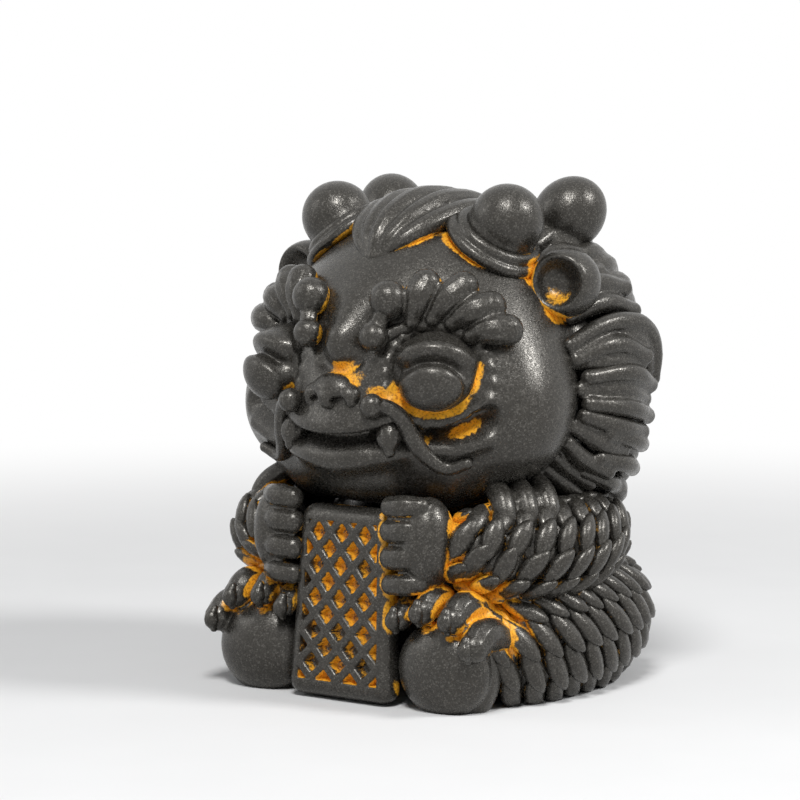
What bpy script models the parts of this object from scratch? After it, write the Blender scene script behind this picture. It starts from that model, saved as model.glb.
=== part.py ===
"""Seated qilin figurine of dark iron-sand clay, built as pressed and rolled pieces luted together.

Modelled in millimetres and scaled to metres at the end, +Z up. The figure faces -Y and its left side
is +X. The origin is the middle of the flat base.
Every piece is trimmed to the pieces that carry it and keeps a thin slip layer to them.
"""

import math

import bmesh
import bpy
from mathutils import Matrix, Vector

TO_METRES = 0.001  # sizes below are in millimetres
SLIP = 0.3  # the layer of slip that lutes two pieces together
WELD = 0.001  # points this close are one

# Head: a skull with a flatter face, full cheeks and a short muzzle
HEAD_HEIGHT = 48.6  # centre of the skull above the base
HEAD_FORWARD = 4.0  # centre of the skull in front of the body's centre line
SKULL_HALF_WIDTH = 23.5
SKULL_FRONT = 20.5
SKULL_BACK = 25.0
SKULL_HALF_HEIGHT = 21.5
CHEEK_SWELL = 6.9
CHEEK_AZIMUTH = 68.0
CHEEK_ELEVATION = -21.0
CHEEK_SPREAD = 27.0  # degrees over which the cheek fades
MUZZLE_SWELL = 5.6
MUZZLE_ELEVATION = -17.0
MUZZLE_SPREAD = 27.0
FOREHEAD_SWELL = 0.4
FOREHEAD_ELEVATION = 38.0
FOREHEAD_SPREAD = 32.0
NUB_SWELL = 1.8  # the tongue that comes down between the brows
NUB_ELEVATIONS = (12.0, 22.0, 32.0)
NUB_SPREAD = 7.0
SOCKET_DEPTH = 2.6
SOCKET_SPREAD = 16.0
BRIDGE_ELEVATION = 4.0  # the hollow over the nose
BRIDGE_SPREAD = 13.0
HEAD_SEGMENTS = 36
HEAD_RINGS = 20

# Face pieces, placed on the head by azimuth from the front and elevation, in degrees
EYE_RADIUS = 6.2
EYE_AZIMUTH = 38.0
EYE_ELEVATION = -1.0
EYE_RISE = 0.3  # centre of the eye above its socket
NOSE_HALF_WIDTH = 4.6
NOSE_HALF_HEIGHT = 2.9
NOSE_DEPTH = 3.2
NOSE_ELEVATION = -6.0
JAW_HALF_WIDTH = 18.0
JAW_HALF_HEIGHT = 5.6
JAW_DEPTH = 13.0
JAW_ELEVATION = -52.7
JAW_SINK = 4.3  # centre of the jaw below the head's surface
FANG_RADIUS = 1.75
FANG_LENGTH = 4.8
FANG_AZIMUTH = 21.8
FANG_ELEVATION = -21.5
FANG_RISE = 1.0
WHISKER_RADIUS = 1.15
WHISKER_BALL_RADIUS = 1.6
WHISKER_ROUTE = (  # azimuth and elevation
    (16.8, -10.9),
    (21.5, -11.6),
    (26.3, -15.5),
    (30.0, -22.3),
    (35.4, -28.9),
    (42.5, -31.8),
    (48.5, -28.2),
)
BROW_LOBES = (  # root azimuth and elevation, tip azimuth and elevation, radius
    (29.0, 18.5, 34.4, 31.6, 2.1),
    (37.0, 19.5, 49.5, 30.0, 2.1),
    (44.5, 17.5, 58.5, 21.8, 2.1),
    (51.0, 12.0, 62.5, 13.2, 2.0),
)
BROW_LOBE_RISE = 1.9
BROW_CURLS = ((19.5, 25.5, 2.5), (15.0, 12.0, 2.05))  # azimuth, elevation, radius
BROW_CURL_RISE = 1.7
BROW_RIDGE = ((17.0, 12.0), (34.0, 17.5), (53.0, 10.5))  # azimuth and elevation
BROW_RIDGE_WIDTH = 2.8
BROW_RIDGE_RISE = 0.5

# Top of the head
HORN_BALL_RADIUS = 5.6
HORN_BALL_AZIMUTH = 82.7
HORN_BALL_ELEVATION = 53.3
HORN_BALL_RISE = 0.72  # share of the radius that the centre stands above the skull
HORN_COLLAR_RADIUS = 1.7
COLLAR_SEGMENTS = 20
HORN_EGG_RADIUS = 5.2
HORN_EGG_LENGTH = 15.5
HORN_EGG_RISE = 6.4  # centre of the egg above the skull
HORN_EGG_AZIMUTH = 130.0
HORN_EGG_ELEVATION = 46.0
EAR_RADIUS = 5.4
EAR_DEPTH = 8.0
EAR_CUP_RADIUS = 3.4
EAR_CUP_DEPTH = 3.6
EAR_AZIMUTH = 98.0
EAR_ELEVATION = 29.0
EAR_RISE = 3.2
EAR_FACING = Vector((0.42, -0.9, -0.02)).normalized()
FORELOCK_STRANDS = 5
FORELOCK_STRAND_WIDTH = 4.2
FORELOCK_STRAND_HEIGHT = 7.0
FORELOCK_ARCH = (  # shares of the skull's half sizes: aside for each strand, back and up
    (0.02, -0.67, 0.70),
    (0.08, -0.57, 0.84),
    (0.136, -0.28, 0.99),
    (0.157, 0.10, 1.03),
    (0.145, 0.50, 0.96),
)
FORELOCK_FALL = 0.018  # share of the half height that a strand lies lower, times its place squared

# Mane: tufts of strands. Strands by root azimuth and elevation, middle elevation, tip azimuth and
# elevation, and how far the tip stands off the skull
SIDE_STRANDS = (
    ((94, 36, 37, 117, 35, 3.5), (93, 28, 29, 120, 27, 5.5), (93, 18, 20, 119, 19, 7.0)),
    ((90, 9, 13, 119, 4, 8.4), (92, 3, 7, 113, 3, 7.6), (92, -2, 1.5, 115, -2.5, 8.6)),
    ((93, -5, -2, 118, -7, 10.0), (93, -11, -8.2, 119, -11.5, 10.6)),
    ((93, -16, -13.5, 118, -15.5, 10.6), (92, -21, -19, 115, -21, 9.6), (103, -19, -18, 126, -20, 11.4)),
    ((91, -26, -25.5, 113, -29.5, 9.0), (90, -32, -31.5, 111, -36.5, 8.6), (103, -27, -27, 126, -28, 12.2)),
    ((91, -37, -37, 112, -37.5, 9.4), (102, -34, -33, 126, -34, 13.0)),
)
SIDE_STRAND_RADIUS = 1.95
SIDE_STRAND_BEND = 0.6  # share of the tip's lift at the middle of a strand
SIDE_LOCKS = len(SIDE_STRANDS)
SIDE_LOCK_AZIMUTHS = (104.0, 128.0, 153.0)  # of the part of a tuft that lies back on the skull
SIDE_LOCK_WIDTH = 9.0
SIDE_LOCK_HEIGHT = 8.0
BACK_LOCKS = 5
BACK_LOCK_FIRST_AZIMUTH = 152.0
BACK_LOCK_RISE = 4.2
BACK_STRANDS = 3
BACK_STRAND_STEP = 4.6  # degrees from strand to strand
BACK_STRAND_WIDTH = 4.6
BACK_STRAND_HEIGHT = 9.0
BACK_STRAND_SHORTENING = 4.0  # degrees that an outer strand ends higher
BACK_TIP_RISE = 5.9
BACK_LOCK_TOP = 62.0
BACK_LOCK_BOTTOM = -42.0

# Body
TORSO_HALF_WIDTH = 23.0
TORSO_HALF_DEPTH = 22.0
TORSO_HALF_HEIGHT = 23.0
TORSO_BACK = 6.0
TORSO_HEIGHT = 14.0
SCALE_HEIGHT = 1.2  # ridge of a scale above its edge
SCALE_RIDGE = (0.2, 0.85, 1.0, 0.85)  # shares of that height along a scale
SCALE_SLANT = 0.5  # how far a scale leans along its limb, as a share of the limb's half height
ARM_RADIUS = 6.2
ARM_SCALES = 8  # rows along the limb
ARM_SIDES = 14
SHOULDER_OUT = 22.8
SHOULDER_HEIGHT = 24.0
PAW_OUT = 12.6
PAW_FORWARD = 22.8
PAW_HEIGHT = 23.8
PALM_RADII = (3.9, 3.4, 6.6)
PAW_FINGERS = 4
PAW_FINGER_RADIUS = 1.9
PAW_FINGER_LENGTH = 6.4
THIGH_RADIUS = 8.8
THIGH_SCALES = 10
THIGH_SIDES = 18
THIGH_OUT = 20.0
HIP_BACK = 12.4
KNEE_FORWARD = 15.0
SOLE_OUT = 16.4
SOLE_FORWARD = 23.0
SOLE_HEIGHT = 6.0
SOLE_RADII = (7.5, 4.6, 7.0)
HEEL_BACK = 2.6  # the heel behind the sole
HEEL_RADII = (7.3, 5.0, 8.0)
INSTEP_BACK = 4.6  # what carries the toes, behind and above the sole
INSTEP_RISE = 5.2
INSTEP_RADII = (7.8, 4.4, 5.6)
TOES = (  # aside and above the middle of the sole, radius
    (-5.9, 8.6, 1.95),
    (-1.8, 10.0, 2.1),
    (3.2, 9.3, 2.3),
    (6.6, 5.6, 2.45),
)
TOE_LENGTH = 9.0
TOE_DIP = 1.7  # tip of a toe below its middle
TAIL_STRANDS = 5
TAIL_STRAND_WIDTH = 4.0
TAIL_STRAND_HEIGHT = 6.4
TAIL_SPREAD = 2.1  # from strand to strand
TAIL_LENGTH = 26.0
TAIL_HEIGHT = 2.6
TAIL_SWELL = 3.4
TAIL_STRAND_SHORTENING = 1.2
TABLET_TOP_WIDTH = 16.0
TABLET_BOTTOM_WIDTH = 18.8
TABLET_HEIGHT = 28.2
TABLET_THICKNESS = 4.6
TABLET_CORNER = 2.0
TABLET_FORWARD = 27.4  # front face at the foot of the tablet
TABLET_LEAN = 3.7  # degrees from upright
TABLET_CLEARANCE = 0.4  # the foot of the tablet above the base

BALL_SEGMENTS = 14
BALL_RINGS = 8
TUBE_SIDES = 6
FACETS_KEPT = 0.38  # share of the facets that stay on a trimmed piece
SCALY_FACETS_KEPT = 0.8
TORSO_FACETS_KEPT = 0.6
CUTTER_MARGIN = 1.2  # share of the slip that a cutter's corners stand off its piece
CUTTER = "_cutter"
CLAY_COLOUR = (0.055, 0.052, 0.047, 1.0)
CLAY_ROUGHNESS = 0.45
CLAY_METALLIC = 0.25

HEAD_CENTRE = Vector((0.0, -HEAD_FORWARD, HEAD_HEIGHT))


def clear_scene():
    for obj in list(bpy.data.objects):
        bpy.data.objects.remove(obj)


def clay():
    material = bpy.data.materials.new("iron_sand_clay")
    material.use_nodes = True
    shader = material.node_tree.nodes["Principled BSDF"]
    shader.inputs["Base Color"].default_value = CLAY_COLOUR
    shader.inputs["Roughness"].default_value = CLAY_ROUGHNESS
    shader.inputs["Metallic"].default_value = CLAY_METALLIC
    return material


def direction(azimuth, elevation):
    """Unit vector at an azimuth from the front towards the left side, and an elevation, in degrees."""
    a, e = math.radians(azimuth), math.radians(elevation)
    return Vector((math.sin(a) * math.cos(e), -math.cos(a) * math.cos(e), math.sin(e)))


# Each swell of the head: azimuth, elevation, height, and width in degrees; the side ones are mirrored
HEAD_SWELLS = (
    (CHEEK_AZIMUTH, CHEEK_ELEVATION, CHEEK_SWELL, CHEEK_SPREAD),
    (-CHEEK_AZIMUTH, CHEEK_ELEVATION, CHEEK_SWELL, CHEEK_SPREAD),
    (0.0, MUZZLE_ELEVATION, MUZZLE_SWELL, MUZZLE_SPREAD),
    (0.0, FOREHEAD_ELEVATION, FOREHEAD_SWELL, FOREHEAD_SPREAD),
    (EYE_AZIMUTH, EYE_ELEVATION, -SOCKET_DEPTH, SOCKET_SPREAD),
    (-EYE_AZIMUTH, EYE_ELEVATION, -SOCKET_DEPTH, SOCKET_SPREAD),
    (0.0, BRIDGE_ELEVATION, -SOCKET_DEPTH, BRIDGE_SPREAD),
)
NUB_SWELLS = tuple((0.0, elevation, NUB_SWELL, NUB_SPREAD) for elevation in NUB_ELEVATIONS)


def head_reach(heading, swells=HEAD_SWELLS):
    """Distance from the head's centre to its surface in a direction."""
    depth = SKULL_FRONT if heading.y < 0 else SKULL_BACK
    squares = (heading.x / SKULL_HALF_WIDTH) ** 2 + (heading.y / depth) ** 2
    reach = (squares + (heading.z / SKULL_HALF_HEIGHT) ** 2) ** -0.5
    for azimuth, elevation, height, width in swells:
        angle = math.degrees(heading.angle(direction(azimuth, elevation)))
        reach += height * math.exp(-((angle / width) ** 2))
    return reach


def on_head(azimuth, elevation, lift=0.0):
    """Point at a height above the head's surface."""
    heading = direction(azimuth, elevation)
    return HEAD_CENTRE + heading * (head_reach(heading) + lift)


def finished(name, bm):
    """A new object from a bmesh, in flat triangles that point out."""
    bmesh.ops.remove_doubles(bm, verts=bm.verts, dist=WELD)
    bmesh.ops.triangulate(bm, faces=bm.faces)
    bmesh.ops.recalc_face_normals(bm, faces=bm.faces)
    mesh = bpy.data.meshes.new(name)
    bm.to_mesh(mesh)
    bm.free()
    obj = bpy.data.objects.new(name, mesh)
    bpy.context.scene.collection.objects.link(obj)
    return obj


def ball(name, centre, radii, axis=Vector((0, 0, 1)), segments=BALL_SEGMENTS, rings=BALL_RINGS):
    """An ellipsoid with its third radius along an axis."""
    bm = bmesh.new()
    bmesh.ops.create_uvsphere(bm, u_segments=segments, v_segments=rings, radius=1.0)
    turn = Vector((0, 0, 1)).rotation_difference(axis).to_matrix().to_4x4()
    bm.transform(Matrix.Translation(centre) @ turn @ Matrix.Diagonal((*radii, 1.0)))
    return finished(name, bm)


def along(points, steps):
    """Points spaced along a smooth curve through the given points."""
    ends = [points[0] * 2 - points[1], *points, points[-1] * 2 - points[-2]]
    made = []
    for i in range(steps + 1):
        t = i / steps * (len(points) - 1)
        k = min(int(t), len(points) - 2)
        t -= k
        a, b, c, d = ends[k : k + 4]
        bend = (2 * a - 5 * b + 4 * c - d) * t**2 + (3 * b - a - 3 * c + d) * t**3
        made.append((2 * b + (c - a) * t + bend) / 2)
    return made


def leaf(t, fullest):
    """Share of a lobe's radius along its length: round at the root, slimmer at the tip."""
    bent = 0.5 * t / fullest if t < fullest else 0.5 + 0.5 * (t - fullest) / (1 - fullest)
    return math.sqrt(max(0.0, math.sin(math.pi * bent)))


def blunt(t, fullest):
    """Share of a limb's radius along its length: nearly even, and round at both ends."""
    bent = 0.5 * t / fullest if t < fullest else 0.5 + 0.5 * (t - fullest) / (1 - fullest)
    return math.sqrt(max(0.0, 1.0 - abs(2.0 * bent - 1.0) ** 3.5))


def smooth(ring, side):
    """No relief."""
    return 0.0


def scaly(ring, side):
    """Height of the scales on a limb: ridges on every other ring, staggered from scale to scale."""
    column, between = divmod(ring, 2)
    spot = (side + column % 2 * len(SCALE_RIDGE) // 2) % len(SCALE_RIDGE)
    return 0.0 if between else SCALE_HEIGHT * SCALE_RIDGE[spot]


def lobe(
    name,
    points,
    width,
    height,
    out,
    fullest=0.5,
    steps=9,
    sides=TUBE_SIDES,
    profile=leaf,
    relief=smooth,
    slant=0.0,
):
    """A closed lobe swept along points. Its height lies along out, a function from a point to a normal."""
    path = along(points, steps)
    bm = bmesh.new()
    rings = []
    for i, point in enumerate(path):
        tangent = (path[min(i + 1, steps)] - path[max(i - 1, 0)]).normalized()
        across = tangent.cross(out(point)).normalized()
        up = across.cross(tangent).normalized()
        share = profile(i / steps, fullest)
        if share < 0.02:
            rings.append([bm.verts.new(point)])
            continue
        ring = []
        for s in range(sides):
            turn = math.tau * s / sides
            raised = relief(i, s) * share
            aside = across * math.cos(turn) * (width / 2 * share + raised)
            above = up * math.sin(turn) * (height / 2 * share + raised)
            leaning = tangent * math.sin(turn) * slant * height / 2 * share
            ring.append(bm.verts.new(point + aside + above + leaning))
        rings.append(ring)
    for low, high in zip(rings, rings[1:]):
        for s in range(sides):
            below = [low[s % len(low)], low[(s + 1) % len(low)]]
            corners = [*below, high[(s + 1) % len(high)], high[s % len(high)]]
            bm.faces.new(list(dict.fromkeys(corners)))
    return finished(name, bm)


def off_head(point):
    """Outward normal of the round head, for what lies on it."""
    return (point - HEAD_CENTRE).normalized()


def boolean(target, tool, operation):
    """Applies a Boolean of a tool to a target and removes the tool."""
    modifier = target.modifiers.new(operation, "BOOLEAN")
    modifier.operation = operation
    modifier.solver = "MANIFOLD"  # the exact solver loses pieces moulded from several lobes
    modifier.object = tool
    bpy.context.view_layer.update()
    made = bpy.data.meshes.new_from_object(target.evaluated_get(bpy.context.evaluated_depsgraph_get()))
    target.modifiers.clear()
    bm = bmesh.new()
    bm.from_mesh(made)
    bmesh.ops.triangulate(bm, faces=bm.faces)
    bm.to_mesh(made)
    bm.free()
    target.data = made
    bpy.data.objects.remove(tool)


def moulded(pieces):
    """Several overlapping pieces pressed into one."""
    whole, *others = pieces
    for other in others:
        boolean(whole, other, "UNION")
    return whole


def union(name, pieces):
    """Several overlapping pieces moulded as one, with the cutter that keeps later pieces off it."""
    cutter = moulded([grown(piece) for piece in pieces])
    cutter.name = name + CUTTER
    whole = moulded(pieces)
    whole.name = name
    return whole


def cutter_of(piece):
    """The cutter of a piece that isn't trimmed yet."""
    cutter = bpy.data.objects.get(piece.name + CUTTER)
    if cutter is None:
        cutter = grown(piece)
        cutter.name = piece.name + CUTTER
    return cutter


def mirrored(obj, name):
    """The right-hand copy of a left-hand piece."""
    bm = bmesh.new()
    bm.from_mesh(obj.data)
    bm.transform(Matrix.Diagonal((-1, 1, 1, 1)))
    return finished(name, bm)


def grown(obj):
    """A copy of a piece, larger all over by the slip, to cut its neighbours with."""
    bm = bmesh.new()
    bm.from_mesh(obj.data)
    bm.normal_update()
    for vert in bm.verts:
        vert.co += vert.normal * SLIP * CUTTER_MARGIN
    return finished("cutter", bm)


def box_of(obj):
    corners = [Vector(c) for c in obj.bound_box]
    return [min(c[i] for c in corners) for i in range(3)], [max(c[i] for c in corners) for i in range(3)]


def near(a, b):
    """Whether two pieces' boxes come within two slip layers of each other."""
    (low_a, high_a), (low_b, high_b) = box_of(a), box_of(b)
    return all(low_a[i] < high_b[i] + 2 * SLIP and low_b[i] < high_a[i] + 2 * SLIP for i in range(3))


def keep_largest(obj):
    """Drops the crumbs that a trim leaves beyond the piece that cut it."""
    bm = bmesh.new()
    bm.from_mesh(obj.data)
    left = set(bm.verts)
    islands = []
    while left:
        island, front = set(), [left.pop()]
        while front:
            vert = front.pop()
            island.add(vert)
            for edge in vert.link_edges:
                other = edge.other_vert(vert)
                if other in left:
                    left.discard(other)
                    front.append(other)
        islands.append(island)
    islands.sort(key=len)
    bmesh.ops.delete(bm, geom=[v for island in islands[:-1] for v in island], context="VERTS")
    bm.to_mesh(obj.data)
    bm.free()


def thin_out(obj):
    """Removes the slivers that trims leave, and keeps the form."""
    modifier = obj.modifiers.new("thin", "DECIMATE")
    kept = {"arm": SCALY_FACETS_KEPT, "thigh": SCALY_FACETS_KEPT, "torso": TORSO_FACETS_KEPT}
    modifier.ratio = kept.get(obj.name.partition("_")[0], FACETS_KEPT)
    bpy.context.view_layer.update()
    made = bpy.data.meshes.new_from_object(obj.evaluated_get(bpy.context.evaluated_depsgraph_get()))
    obj.modifiers.clear()
    obj.data = made


def flatten_base(obj):
    """Cuts a piece flat where it stands on the table."""
    if box_of(obj)[0][2] > 0:
        return
    reach = HEAD_HEIGHT * 4
    bm = bmesh.new()
    bmesh.ops.create_cube(bm, size=reach)
    bm.transform(Matrix.Translation((0, 0, -reach / 2)))
    boolean(obj, finished("floor", bm), "DIFFERENCE")


def head():
    """Skull, cheeks and muzzle as one pressed shell, with sockets for the eyes."""
    bm = bmesh.new()
    bmesh.ops.create_uvsphere(bm, u_segments=HEAD_SEGMENTS, v_segments=HEAD_RINGS, radius=1.0)
    for vert in bm.verts:
        heading = vert.co.normalized()
        vert.co = HEAD_CENTRE + heading * head_reach(heading, HEAD_SWELLS + NUB_SWELLS)
    return finished("head", bm)


def lower_jaw():
    """A wide crescent under the muzzle, from cheek to cheek."""
    centre = on_head(0.0, JAW_ELEVATION, -JAW_SINK)
    return ball("lower_jaw", centre, (JAW_HALF_WIDTH, JAW_DEPTH, JAW_HALF_HEIGHT))


def nose():
    centre = on_head(0.0, NOSE_ELEVATION)
    bridge = ball("nose", centre, (NOSE_HALF_WIDTH, NOSE_DEPTH, NOSE_HALF_HEIGHT))
    wings = []
    for side in (-1, 1):
        place = centre + Vector((side * NOSE_HALF_WIDTH * 0.7, 0, -NOSE_HALF_HEIGHT * 0.45))
        wings.append(ball("wing", place, [NOSE_HALF_HEIGHT * 0.8] * 3, segments=10, rings=6))
    return union("nose", [bridge, *wings])


def eye():
    centre = on_head(EYE_AZIMUTH, EYE_ELEVATION, EYE_RISE)
    return ball("eye_left", centre, [EYE_RADIUS] * 3, direction(EYE_AZIMUTH, EYE_ELEVATION))


def brow():
    """Two curls by the nose bridge and a fan of lobes over the eye, on one ridge."""
    ridge = [on_head(azimuth, elevation, BROW_RIDGE_RISE) for azimuth, elevation in BROW_RIDGE]
    pieces = [lobe("ridge", ridge, BROW_RIDGE_WIDTH, BROW_RIDGE_WIDTH, off_head, 0.5, 6, 5, blunt)]
    for root_azimuth, root_elevation, tip_azimuth, tip_elevation, radius in BROW_LOBES:
        root = on_head(root_azimuth, root_elevation, BROW_LOBE_RISE / 2)
        azimuth, elevation = (root_azimuth + tip_azimuth) / 2, (root_elevation + tip_elevation) / 2
        middle = on_head(azimuth, elevation, BROW_LOBE_RISE)
        tip = on_head(tip_azimuth, tip_elevation, BROW_LOBE_RISE / 2)
        tip += (tip - middle).normalized() * radius
        path, width = [root, middle, tip], 2 * radius
        pieces.append(lobe("lobe", path, width, width, off_head, 0.55, 5, TUBE_SIDES, blunt))
    ends = []
    for azimuth, elevation, radius in BROW_CURLS:
        ends.append(on_head(azimuth, elevation, BROW_CURL_RISE))
        pieces.append(ball("curl", ends[-1], [radius] * 3, segments=8, rings=6))
    link = [ends[0], (ends[0] + ends[1]) / 2, ends[1]]
    pieces.append(lobe("link", link, BROW_RIDGE_WIDTH, BROW_RIDGE_WIDTH, off_head, 0.5, 4, 5, blunt))
    return union("brow_left", pieces)


def whisker():
    """A ball beside the nose and a barbel that sweeps out and down past the mouth corner."""
    path = [on_head(azimuth, elevation, WHISKER_RADIUS) for azimuth, elevation in WHISKER_ROUTE]
    barbel = lobe("barbel", path, 2 * WHISKER_RADIUS, 2 * WHISKER_RADIUS, off_head, 0.5, 10, 6, blunt)
    knob = ball("knob", path[0], [WHISKER_BALL_RADIUS] * 3, segments=10, rings=6)
    return union("whisker_left", [knob, barbel])


def fang():
    """A blunt tooth that hangs from the mouth corner."""
    root = on_head(FANG_AZIMUTH, FANG_ELEVATION, FANG_RISE)
    tip = root + Vector((0, -0.15, -1)).normalized() * FANG_LENGTH
    middle = (root + tip) / 2
    return lobe("fang_left", [root, middle, tip], 2 * FANG_RADIUS, 2 * FANG_RADIUS, off_head, 0.25, 6, 8)


def horn_ball():
    """A round front horn."""
    centre = on_head(HORN_BALL_AZIMUTH, HORN_BALL_ELEVATION, HORN_BALL_RADIUS * HORN_BALL_RISE)
    return ball("horn_bud_left", centre, [HORN_BALL_RADIUS] * 3)


def horn_collar():
    """A rolled ring of clay round the foot of the front horn."""
    axis = direction(HORN_BALL_AZIMUTH, HORN_BALL_ELEVATION)
    centre = on_head(HORN_BALL_AZIMUTH, HORN_BALL_ELEVATION, HORN_COLLAR_RADIUS * 0.5)
    turn = Vector((0, 0, 1)).rotation_difference(axis).to_matrix().to_4x4()
    ring = HORN_BALL_RADIUS + HORN_COLLAR_RADIUS * 0.35
    bm = bmesh.new()
    verts = []
    for i in range(COLLAR_SEGMENTS):
        turned = math.tau * i / COLLAR_SEGMENTS
        verts.append([])
        for s in range(TUBE_SIDES):
            tilted = math.tau * s / TUBE_SIDES
            out = ring + HORN_COLLAR_RADIUS * math.cos(tilted)
            up = HORN_COLLAR_RADIUS * math.sin(tilted)
            verts[-1].append(bm.verts.new((out * math.cos(turned), out * math.sin(turned), up)))
    for i in range(COLLAR_SEGMENTS):
        for s in range(TUBE_SIDES):
            j, t = (i + 1) % COLLAR_SEGMENTS, (s + 1) % TUBE_SIDES
            bm.faces.new((verts[i][s], verts[j][s], verts[j][t], verts[i][t]))
    bm.transform(Matrix.Translation(centre) @ turn)
    return finished("horn_collar_left", bm)


def horn_egg():
    axis = direction(HORN_EGG_AZIMUTH, HORN_EGG_ELEVATION)
    centre = on_head(HORN_EGG_AZIMUTH, HORN_EGG_ELEVATION, HORN_EGG_RISE)
    return ball("horn_egg_left", centre, (HORN_EGG_RADIUS, HORN_EGG_RADIUS, HORN_EGG_LENGTH / 2), axis)


def ear():
    """A thick round cup that opens forwards."""
    centre = on_head(EAR_AZIMUTH, EAR_ELEVATION, EAR_RISE)
    cup = ball("ear_left", centre, (EAR_RADIUS, EAR_RADIUS, EAR_DEPTH / 2), EAR_FACING)
    mouth = centre + EAR_FACING * EAR_DEPTH / 2
    hollow = ball("hollow", mouth, (EAR_CUP_RADIUS, EAR_CUP_RADIUS, EAR_CUP_DEPTH), EAR_FACING)
    boolean(cup, hollow, "DIFFERENCE")
    return cup


def forelock():
    """Strands that rise from one point on the forehead and fan back over the crown."""
    strands = []
    for i in range(FORELOCK_STRANDS):
        place = i - (FORELOCK_STRANDS - 1) / 2
        path = []
        for aside, back, up in FORELOCK_ARCH:
            depth = SKULL_FRONT if back < 0 else SKULL_BACK
            fall = FORELOCK_FALL * place**2
            out, high = aside * place * SKULL_HALF_WIDTH, (up - fall) * SKULL_HALF_HEIGHT
            path.append(HEAD_CENTRE + Vector((out, back * depth, high)))
        width, height = FORELOCK_STRAND_WIDTH, FORELOCK_STRAND_HEIGHT
        strands.append(lobe("strand", path, width, height, off_head, 0.6, 7, TUBE_SIDES, blunt))
    return union("forelock", strands)


def side_lock(index):
    """A tuft that lies back on the skull, with strands that stand out from behind the cheek."""
    tuft = SIDE_STRANDS[index]
    level = sum(strand[4] for strand in tuft) / len(tuft)
    rise = max(strand[5] for strand in tuft) / 2
    front, middle, back = SIDE_LOCK_AZIMUTHS
    path = [on_head(front, level), on_head(middle, level, rise), on_head(back, level, rise)]
    pieces = [lobe("lock", path, SIDE_LOCK_WIDTH, SIDE_LOCK_HEIGHT, off_head, 0.6, 6, 8, blunt)]
    for root_azimuth, root_elevation, middle_elevation, tip_azimuth, tip_elevation, lift in tuft:
        middle_azimuth = (root_azimuth + tip_azimuth) / 2
        strand = [
            on_head(root_azimuth, root_elevation),
            on_head(middle_azimuth, middle_elevation, lift * SIDE_STRAND_BEND),
            on_head(tip_azimuth, tip_elevation, lift),
        ]
        strand.append(strand[2] + (strand[2] - strand[1]).normalized() * SIDE_STRAND_RADIUS)
        width, height = 2 * SIDE_STRAND_RADIUS, 3 * SIDE_STRAND_RADIUS
        pieces.append(lobe("strand", strand, width, height, off_head, 0.6, 6, TUBE_SIDES, blunt))
    return union(f"mane_lock_left_{index + 1}", pieces)


def back_lock(index):
    """A tuft of strands that hangs from the crown down the back of the head."""
    share = 2.0 * index / (BACK_LOCKS - 1) - 1.0
    azimuth = 180.0 - share * (180.0 - BACK_LOCK_FIRST_AZIMUTH)
    strands = []
    for k in range(BACK_STRANDS):
        place = k - (BACK_STRANDS - 1) / 2
        aside = azimuth + place * BACK_STRAND_STEP
        middle = (BACK_LOCK_TOP + BACK_LOCK_BOTTOM) / 2
        path = [
            on_head(aside, BACK_LOCK_TOP),
            on_head(aside, middle, BACK_LOCK_RISE),
            on_head(aside, BACK_LOCK_BOTTOM + BACK_STRAND_SHORTENING * abs(place), BACK_TIP_RISE),
        ]
        width, height = BACK_STRAND_WIDTH, BACK_STRAND_HEIGHT
        strands.append(lobe("strand", path, width, height, off_head, 0.6, 6, TUBE_SIDES, blunt))
    return union(f"mane_lock_back_{index + 1}", strands)


def torso():
    centre = Vector((0, TORSO_BACK, TORSO_HEIGHT))
    radii = (TORSO_HALF_WIDTH, TORSO_HALF_DEPTH, TORSO_HALF_HEIGHT)
    return ball("torso", centre, radii, segments=26, rings=14)


def upright(point):
    """Upward normal, for limbs that lie along the table."""
    return Vector((0, 0, 1))


def arm():
    """A scaly forearm from the shoulder round to the tablet."""
    shoulder = Vector((SHOULDER_OUT * 0.94, TORSO_BACK * 1.9, SHOULDER_HEIGHT))
    drop = ARM_RADIUS * 0.35
    elbow = Vector((SHOULDER_OUT + ARM_RADIUS * 0.1, -PAW_FORWARD * 0.35, SHOULDER_HEIGHT - drop))
    wrist = Vector((PAW_OUT + PAW_FINGER_LENGTH * 0.15, -PAW_FORWARD * 0.95, PAW_HEIGHT))
    path, steps = [shoulder, elbow, wrist], 2 * ARM_SCALES
    size = 1.96 * ARM_RADIUS, 2.1 * ARM_RADIUS
    return lobe("arm_left", path, *size, upright, 0.5, steps, ARM_SIDES, blunt, scaly, -SCALE_SLANT)


def forepaw():
    """A palm with four fingers that close on the tablet's edge."""
    palm = Vector((PAW_OUT, -PAW_FORWARD, PAW_HEIGHT))
    pieces = [ball("palm", palm, PALM_RADII, segments=12, rings=7)]
    front = Vector((0, -PALM_RADII[1] * 0.72, 0))
    for i in range(PAW_FINGERS):
        rise = ((PAW_FINGERS - 1) / 2 - i) * PAW_FINGER_RADIUS * 1.86
        bend = palm + front + Vector((-PAW_FINGER_LENGTH * 0.2, 0, rise))
        root = bend + Vector((PAW_FINGER_LENGTH * 0.5, PAW_FINGER_RADIUS * 0.6, 0))
        tip = bend + Vector((-PAW_FINGER_LENGTH * 0.6, PAW_FINGER_RADIUS * 0.2, 0))
        width = 2 * PAW_FINGER_RADIUS
        pieces.append(lobe("finger", [root, bend, tip], width, width, upright, 0.55, 5, TUBE_SIDES, blunt))
    return union("forepaw_left", pieces)


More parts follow.
